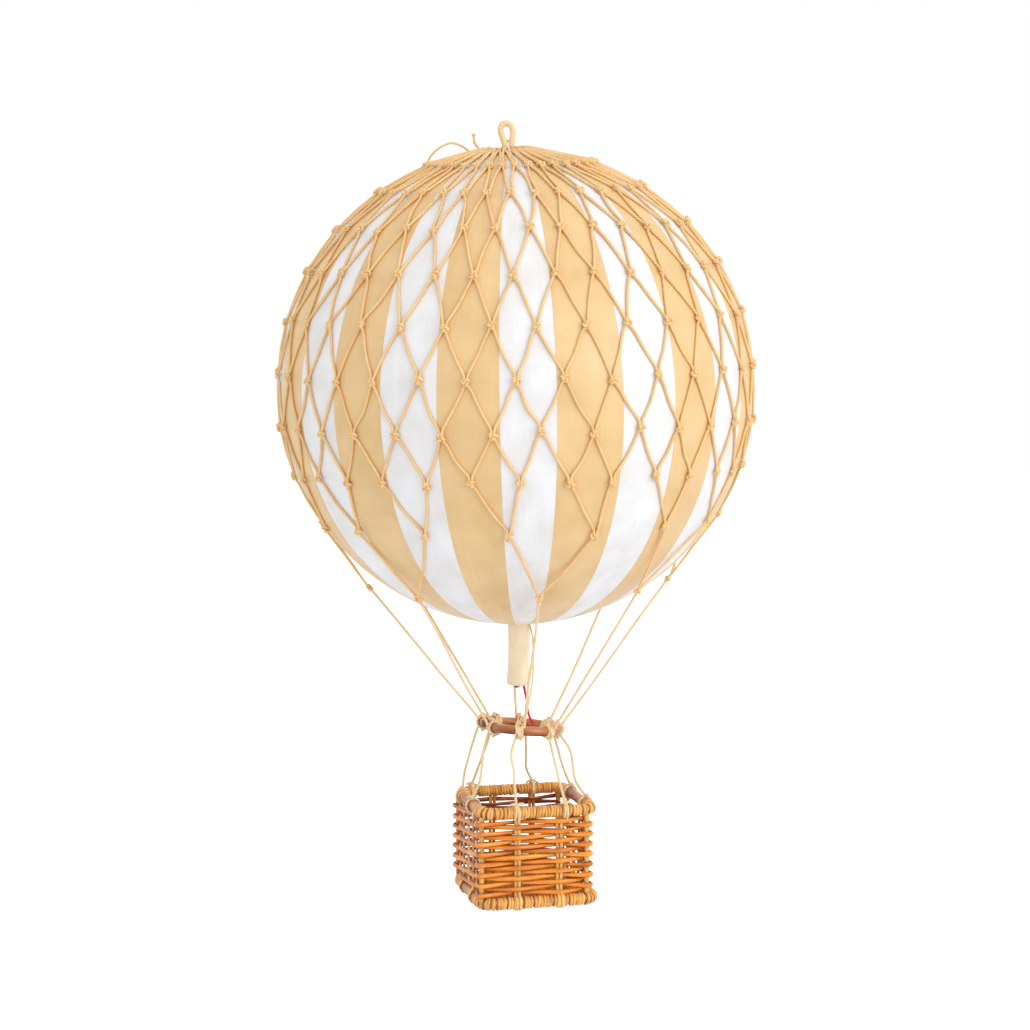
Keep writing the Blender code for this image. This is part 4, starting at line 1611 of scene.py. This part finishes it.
@dataclass(frozen=True)
class RimTie:
    """Where a basket line is tied to the rim, and how the line bows.

    Share is the part of the bar's length before the tie. Shift is how far to the right of its lashing the line
    starts, and bows is how far to the right it lies at each quarter of its length, in millimetres.
    """

    bar: Bar
    share: float
    shift: float
    bows: tuple[float, float, float]


@dataclass
class Basket:
    """The square wicker basket and the eight lines that carry it."""

    rim_level: float = -258.2 * MM
    rim_half: float = 21.4 * MM
    rim_rod: float = 2.2 * MM
    foot_level: float = -292.5 * MM
    foot_half: float = 21.8 * MM
    foot_rod: float = 2.3 * MM
    corner: float = 4.8 * MM
    stake_places: tuple[float, float] = (-8.2 * MM, 8.2 * MM)
    # The walls stand a little to the left of the rim and foot
    wall_shift: float = -1.4 * MM
    wall_half: float = 21.0 * MM
    post_place: float = 20.5 * MM
    post_radius: float = 1.05 * MM
    post_reach: float = 1.75 * MM
    rows: int = 15
    swing: float = 1.35 * MM
    wide_cane: float = 0.95 * MM
    thin_cane: float = 0.72 * MM
    cane_flat: float = 0.66
    line_cord: float = 0.52 * MM
    tie_cord: float = 0.45 * MM
    ties: tuple[RimTie, ...] = (
        RimTie(Bar.FRONT, 0.295, -1.4, (-1.8, -0.9, -0.5)),
        RimTie(Bar.FRONT, 0.74, 0.7, (-0.15, -0.2, -0.1)),
        RimTie(Bar.RIGHT, 0.25, 1.6, (1.3, 0.0, -1.4)),
        RimTie(Bar.RIGHT, 0.75, 1.9, (0.0, -0.4, -0.45)),
        RimTie(Bar.BACK, 0.3, 1.7, (-0.5, -1.1, -1.7)),
        RimTie(Bar.BACK, 0.88, -1.3, (0.2, 0.15, 0.1)),
        RimTie(Bar.LEFT, 0.15, -2.4, (-0.5, -0.7, -0.8)),
        RimTie(Bar.LEFT, 0.58, -2.4, (-0.2, 0.55, 1.1)),
    )
    seed: int = 11

    def __post_init__(self) -> None:
        """Finds the basket's middle and makes its materials."""
        self.middle = middle_of("basket_foot") * np.array((1, 1, 0))
        self.wall_middle = self.middle + np.array((self.wall_shift, 0, 0))
        self.random = np.random.default_rng(self.seed)
        # Each stem material paints the side that faces out lighter and the side that faces in darker: painted light and
        # shade
        self.cane = VarnishedStem("split_cane", "#FFB441", "#E88618", "#7E3508", 0.3, 0.28, 0.4).build()
        self.fine_cane = VarnishedStem("fine_cane", "#FFD084", "#EDAA52", "#9C5A22", 0.25, 0.32, 0.3).build()
        self.stake = VarnishedStem("peeled_cane", "#F7D79A", "#EDB868", "#B8742F", 0.25, 0.4, 0.25).build()
        self.bark = VarnishedStem("bare_rod", "#F3BC8E", "#D89A6C", "#8A5232", 0.4, 0.4, 0.2).build()
        self.cord = natural_cord()

    def square(self, half: float, level: float, corner: float, steps: int) -> tuple[np.ndarray, np.ndarray]:
        """Gives a level square with round corners, in samples about half a millimetre apart.

        Args:
            half: Half its side.
            level: Its height.
            corner: The radius of its corners.
            steps: Samples in each corner.

        Returns:
            The samples from the front's middle round by the right, and the outward direction at each.
        """
        places: list[np.ndarray] = []
        outward: list[np.ndarray] = []
        straight = np.linspace(corner - half, half - corner, 60)[:-1]
        for bar in Bar:
            turn = bar.turn()
            for along in straight:
                places.append(turn @ np.array((along, -half, level)))
                outward.append(turn @ np.array((0, -1, 0)))
            for angle in np.linspace(0, math.pi / 2, steps + 1)[:-1]:
                way = np.array((math.sin(angle), -math.cos(angle), 0))
                places.append(turn @ (np.array((half - corner, corner - half, level)) + corner * way))
                outward.append(turn @ way)
        return np.array(places) + self.middle, np.array(outward)

    def wrapped(self, name: str, half: float, level: float, rod: float, pitch: float) -> bpy.types.Object:
        """Builds a square of rod, wrapped in fine cane except on the middles of its two side bars.

        Args:
            name: The piece's name.
            half: Half the square's side.
            level: The rod's height.
            rod: Its radius with the wrapping.
            pitch: The distance from one turn to the next.

        Returns:
            The wrapped square.
        """
        path, outward = self.square(half, level, self.corner, 10)
        local = path - self.middle
        side_bar = (np.abs(local[:, 1]) < half - 8.5 * MM) & (np.abs(local[:, 0]) > half - 1 * MM)
        core = np.where(side_bar, rod - 0.2 * MM, rod - 0.6 * MM)
        core = (core + np.roll(core, 1) + np.roll(core, -1)) / 3
        inner = StrandMesh(sides=16)
        inner.sweep(path, core, outward=UP, closed=True, tone=0.45)
        core_piece = inner.finish(f"{name}_rod", self.bark)
        turns = StrandMesh(sides=8)
        steps = np.linalg.norm(np.diff(np.vstack((path, path[:1])), axis=0), axis=1)
        lengths = np.cumsum(steps) - steps[0]
        total = float(np.sum(steps))
        place = 0.0
        while place < total - pitch * 0.5:
            width = pitch * self.random.uniform(0.88, 1.12)
            index = int(np.searchsorted(lengths, place + width / 2)) % len(path)
            if not side_bar[index]:
                ahead = unit(path[(index + 1) % len(path)] - path[index - 1])
                self.add_turn(turns, path[index], ahead, outward[index], rod, width)
            place += width
        wraps = turns.finish(f"{name}_wrapping", self.fine_cane)
        attach(wraps, "basket", "wrapped_rod")
        return core_piece

    def add_turn(
        self, turns: StrandMesh, centre: np.ndarray, ahead: np.ndarray, outward: np.ndarray, rod: float, width: float
    ) -> None:
        """Adds one turn of fine cane round a rod.

        Args:
            turns: The strands that it joins.
            centre: The rod's middle.
            ahead: The rod's direction.
            outward: The level direction out of the basket.
            rod: The radius over the wrapping.
            width: The cane's width.
        """
        angle = np.arange(14) * TURN / 14
        slant = self.random.normal(0.12, 0.09) * width
        spokes = np.outer(np.cos(angle), outward) + np.outer(np.sin(angle), UP)
        lift = rod - 0.3 * MM + self.random.uniform(-0.06, 0.12) * MM
        line = centre + spokes * lift + np.outer(np.sin(angle + self.random.uniform(-0.4, 0.4)) * slant, ahead)
        tone = float(self.random.uniform(0.3, 0.75))
        turns.sweep(line, width * 0.49, flat=0.66, outward=spokes, closed=True, tone=tone)

    def stakes_of(self, bar: Bar) -> tuple[float, float]:
        """Gives the places of a side's two stakes, from the wall's own middle."""
        low, high = self.stake_places
        away = self.wall_shift * math.cos(bar.value * math.pi / 2)
        return low - away, high - away

    def cane_row(self, level: float, row: int) -> tuple[np.ndarray, np.ndarray, np.ndarray]:
        """Gives the line of one cane round the basket, over and under its twelve uprights in turn.

        Args:
            level: Its height.
            row: Its number from the top.

        Returns:
            Its samples, its outward directions and its half widths.
        """
        post = self.post_place
        edge = post - self.wall_half
        points: list[np.ndarray] = []
        for bar in Bar:
            over = [(3 * bar.value + step + row) % 2 == 0 for step in range(4)]
            wander = self.random.normal(0, 0.17, 4) * MM
            stretch: list[tuple[float, float, float, bool]] = []
            for side, place, rise in ((-1, over[0], wander[0]), (1, over[3], wander[3])):
                near = edge + self.post_reach if place else -0.9 * MM
                inset = 0.4 * MM if place else 3.0 * MM
                stretch.append((side * (post - inset), near, rise, place))
            for stake, place, rise in zip(self.stakes_of(bar), over[1:3], wander[1:3]):
                out = self.swing if place else -self.swing
                stretch += [(stake + shift * MM, out * part, rise, place) for shift, part in ((-2.6, 0.6), (0, 1), (2.6, 0.6))]
            corner = self.post_reach * math.sqrt(0.5) * (1 if over[0] else -1)
            tip = (-post - corner, edge + corner, wander[0], over[0])
            for along, out, rise, place in [tip] + sorted(stretch):
                spot = bar.turn() @ np.array((along, -self.wall_half - out, level + rise))
                points.append(np.append(spot, self.wide_cane if place else self.thin_cane))
        run = smooth_run(points, 4, closed=True)
        line, widths = run[:, :3], run[:, 3]
        outward = unit(line * np.array((1, 1, 0)))
        square = np.abs(line[:, :1]) < np.abs(line[:, 1:2])
        facing = np.hstack((np.where(square, 0, np.sign(line[:, :1])), np.where(square, np.sign(line[:, 1:2]), 0)))
        away = np.minimum(np.abs(np.abs(line[:, 0]) - np.abs(line[:, 1])) / (2 * MM), 1)[:, None]
        outward[:, :2] = outward[:, :2] * (1 - away) + facing * away
        return line + self.wall_middle, outward, widths * self.random.uniform(0.9, 1.05)

    def weave(self) -> bpy.types.Object:
        """Builds the canes of all the rows."""
        top = self.rim_level - self.rim_rod - 0.35 * MM
        foot = self.foot_level + self.foot_rod + 0.25 * MM
        pitch = (top - foot) / self.rows
        canes = StrandMesh(sides=8)
        for row in range(self.rows):
            line, outward, widths = self.cane_row(top - pitch * (row + 0.5), row)
            tone = float(self.random.uniform(0.25, 0.9))
            canes.sweep(line, widths, flat=self.cane_flat, outward=outward, closed=True, tone=tone)
        return canes.finish("woven_canes", self.cane)

    def uprights(self) -> bpy.types.Object:
        """Builds the corner posts and the paired stakes, which bend round the foot."""
        stems = StrandMesh(sides=10)
        top = self.rim_level - 0.9 * self.rim_rod
        foot = self.foot_level + 0.5 * self.foot_rod
        for bar in Bar:
            turn = bar.turn()
            spot = np.array((self.post_place, -self.post_place, 0))
            line = [turn @ (spot + UP * (foot + (top - foot) * share)) + self.wall_middle for share in (0, 0.3, 0.6, 1)]
            stems.sweep(smooth_run(line, 5), self.post_radius, outward=turn @ np.array((0, -1, 0)), tone=0.5)
            for stake in self.stake_places:
                for side in (-0.72, 0.72):
                    self.add_stake(stems, bar, stake + side * MM, top)
        return stems.finish("stakes", self.stake)

    def add_stake(self, stems: StrandMesh, bar: Bar, along: float, top: float) -> None:
        """Adds one strip of a stake, bent under the foot bar.

        Args:
            stems: The strands that it joins.
            bar: Its side of the basket.
            along: Its place along that side.
            top: The height of its upper end.
        """
        lean = self.random.normal(0, 0.12, 3) * MM
        half, rod = self.foot_half, self.foot_rod + 0.25 * MM
        turn = bar.turn()
        wall = -self.wall_half - self.wall_shift * math.sin(bar.value * math.pi / 2)
        points = [
            (along + lean[0], wall, top),
            (along + lean[1], wall, (top + self.foot_level) / 2),
            (along, wall, self.foot_level + rod + 1.6 * MM),
            (along, -half - rod * 0.62, self.foot_level + rod * 0.85),
            (along, -half - rod, self.foot_level),
            (along + lean[2], -half - rod * 0.6, self.foot_level - rod * 0.8),
            (along + lean[2], -half + 0.2 * MM, self.foot_level - rod),
            (along + lean[2], -half + rod * 0.9, self.foot_level - rod * 0.35),
        ]
        line = smooth_run([turn @ np.array(point) + self.middle for point in points], 5)
        centre = turn @ np.array((0, -half, self.foot_level)) + self.middle
        spokes = line - centre
        spokes -= np.outer(spokes @ (turn @ np.array((1, 0, 0))), turn @ np.array((1, 0, 0)))
        low = line[:, 2] < self.foot_level + rod + 0.8 * MM
        outward = np.where(low[:, None], unit(spokes), turn @ np.array((0, -1, 0)))
        stems.sweep(line, 0.66 * MM, flat=0.5, outward=outward, tone=float(self.random.uniform(0.4, 0.9)))

    def floor(self) -> bpy.types.Object:
        """Builds the floor as two sets of flat canes, over and under each other."""
        strips = StrandMesh(sides=8)
        count = 13
        half = self.foot_half - self.foot_rod - 0.2 * MM
        places = np.linspace(-half + 1.2 * MM, half - 1.2 * MM, count)
        for first in (True, False):
            for index, place in enumerate(places):
                sign = 1 if (index % 2 == 0) == first else -1
                along = np.linspace(-half, half, count * 4 + 1)
                wave = np.cos((along - places[0]) / (places[1] - places[0]) * math.pi) * sign * 0.42 * MM
                level = np.full_like(along, self.foot_level)
                columns = (along, np.full_like(along, place)) if first else (np.full_like(along, place), along)
                line = np.stack((*columns, level + wave), axis=1) + self.middle
                strips.sweep(line, 1.28 * MM, flat=0.3, outward=UP, tone=float(self.random.uniform(0.1, 0.8)), cut=True)
        return strips.finish("woven_floor", self.cane)

    def tie_spot(self, tie: RimTie) -> tuple[np.ndarray, np.ndarray]:
        """Gives the middle of the rim's rod under a tie, and the bar's direction."""
        turn = tie.bar.turn()
        along = self.rim_half * (2 * tie.share - 1)
        return turn @ np.array((along, -self.rim_half, self.rim_level)) + self.middle, turn @ np.array((1.0, 0, 0))

    def rim_tie(self, number: int, tie: RimTie) -> bpy.types.Object:
        """Builds one tie: turns round the rim, a knot on top and two short ends.

        Args:
            number: Its number.
            tie: Where it is.

        Returns:
            The tie.
        """
        centre, along = self.tie_spot(tie)
        out = tie.bar.turn() @ np.array((0, -1.0, 0))
        strand = StrandMesh(sides=8)
        spread = self.random.uniform(0.5, 0.8) * MM
        add_hitch(strand, centre, along, UP, self.rim_rod, self.tie_cord, 2.4, spread, 0.6, 0.45)
        top = centre + UP * (self.rim_rod + 0.9 * MM) + out * 0.4 * MM
        add_knot(strand, top, along, out, 0.9 * MM, self.tie_cord, 0.6, self.random.uniform(0, TURN), 0.9)
        for end in (-1, 1):
            length = self.random.uniform(1.6, 2.6) * MM
            way = along * end + out * self.random.uniform(0, 0.7) + UP * self.random.uniform(-0.5, 0.3)
            points = [top, top + way * length * 0.5 + UP * 0.3 * MM, top + way * length]
            strand.sweep(smooth_run(points, 4), self.tie_cord, outward=UP * 0.9 + out * 0.4, tone=0.6)
        return strand.finish(f"rim_tie_cord_{number}", self.cord)

    def basket_line(self, number: int, tie: RimTie) -> bpy.types.Object:
        """Builds one basket line.

        Args:
            number: Its number.
            tie: Where it is tied.

        Returns:
            The line, which bends between the ring and the basket.
        """
        centre, _ = self.tie_spot(tie)
        ring = RING.spot(RING.lashing_angle(number - 1))
        right = from_view(1, 0, 0)
        start = ring - UP * (RING.rod + 0.6 * MM) + right * tie.shift * MM
        end = centre + UP * (self.rim_rod + 0.8 * MM)
        bows = (0.0, *tie.bows, 0.0)
        points = [start + (end - start) * step / 4 + right * bow * MM for step, bow in enumerate(bows)]
        strand = StrandMesh(sides=8)
        strand.sweep(smooth_run(points, 9), self.line_cord, outward=from_view(0, -1, 0), tone=0.6)
        piece = strand.finish(f"basket_cord_{number}", self.cord)
        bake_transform(piece)
        return piece

    def dress(self) -> None:
        """Builds the basket and its lines."""
        rim = self.wrapped("rim", self.rim_half, self.rim_level, self.rim_rod, 1.15 * MM)
        attach(rim, "basket", "wrapped_rod", "basket_rim")
        foot = self.wrapped("foot", self.foot_half, self.foot_level, self.foot_rod, 1.3 * MM)
        attach(foot, "basket", "wrapped_rod", "basket_foot")
        attach(self.weave(), "basket", "split_cane", "basket_weave")
        attach(self.uprights(), "basket", "split_cane")
        attach(self.floor(), "basket", "floor_cane", "basket_floor")
        for number, tie in enumerate(self.ties, start=1):
            attach(self.rim_tie(number, tie), "basket", "natural_line", f"rim_tie_{number}")
            piece = self.basket_line(number, tie)
            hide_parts(f"basket_line_{number}")
            log.info("%s bends between ring and basket", piece.name)


def main() -> None:
    """Builds the studio and the balloon, from the top down."""
    logging.basicConfig(level=logging.INFO, format="%(name)s: %(message)s")
    studio = Studio()
    studio.place_camera()
    studio.light_up()
    studio.lay_floor()
    Ball().dress()
    net = CordNet()
    net.dress()
    RING.dress(net)
    Basket().dress()


if __name__ == "__main__":
    main()
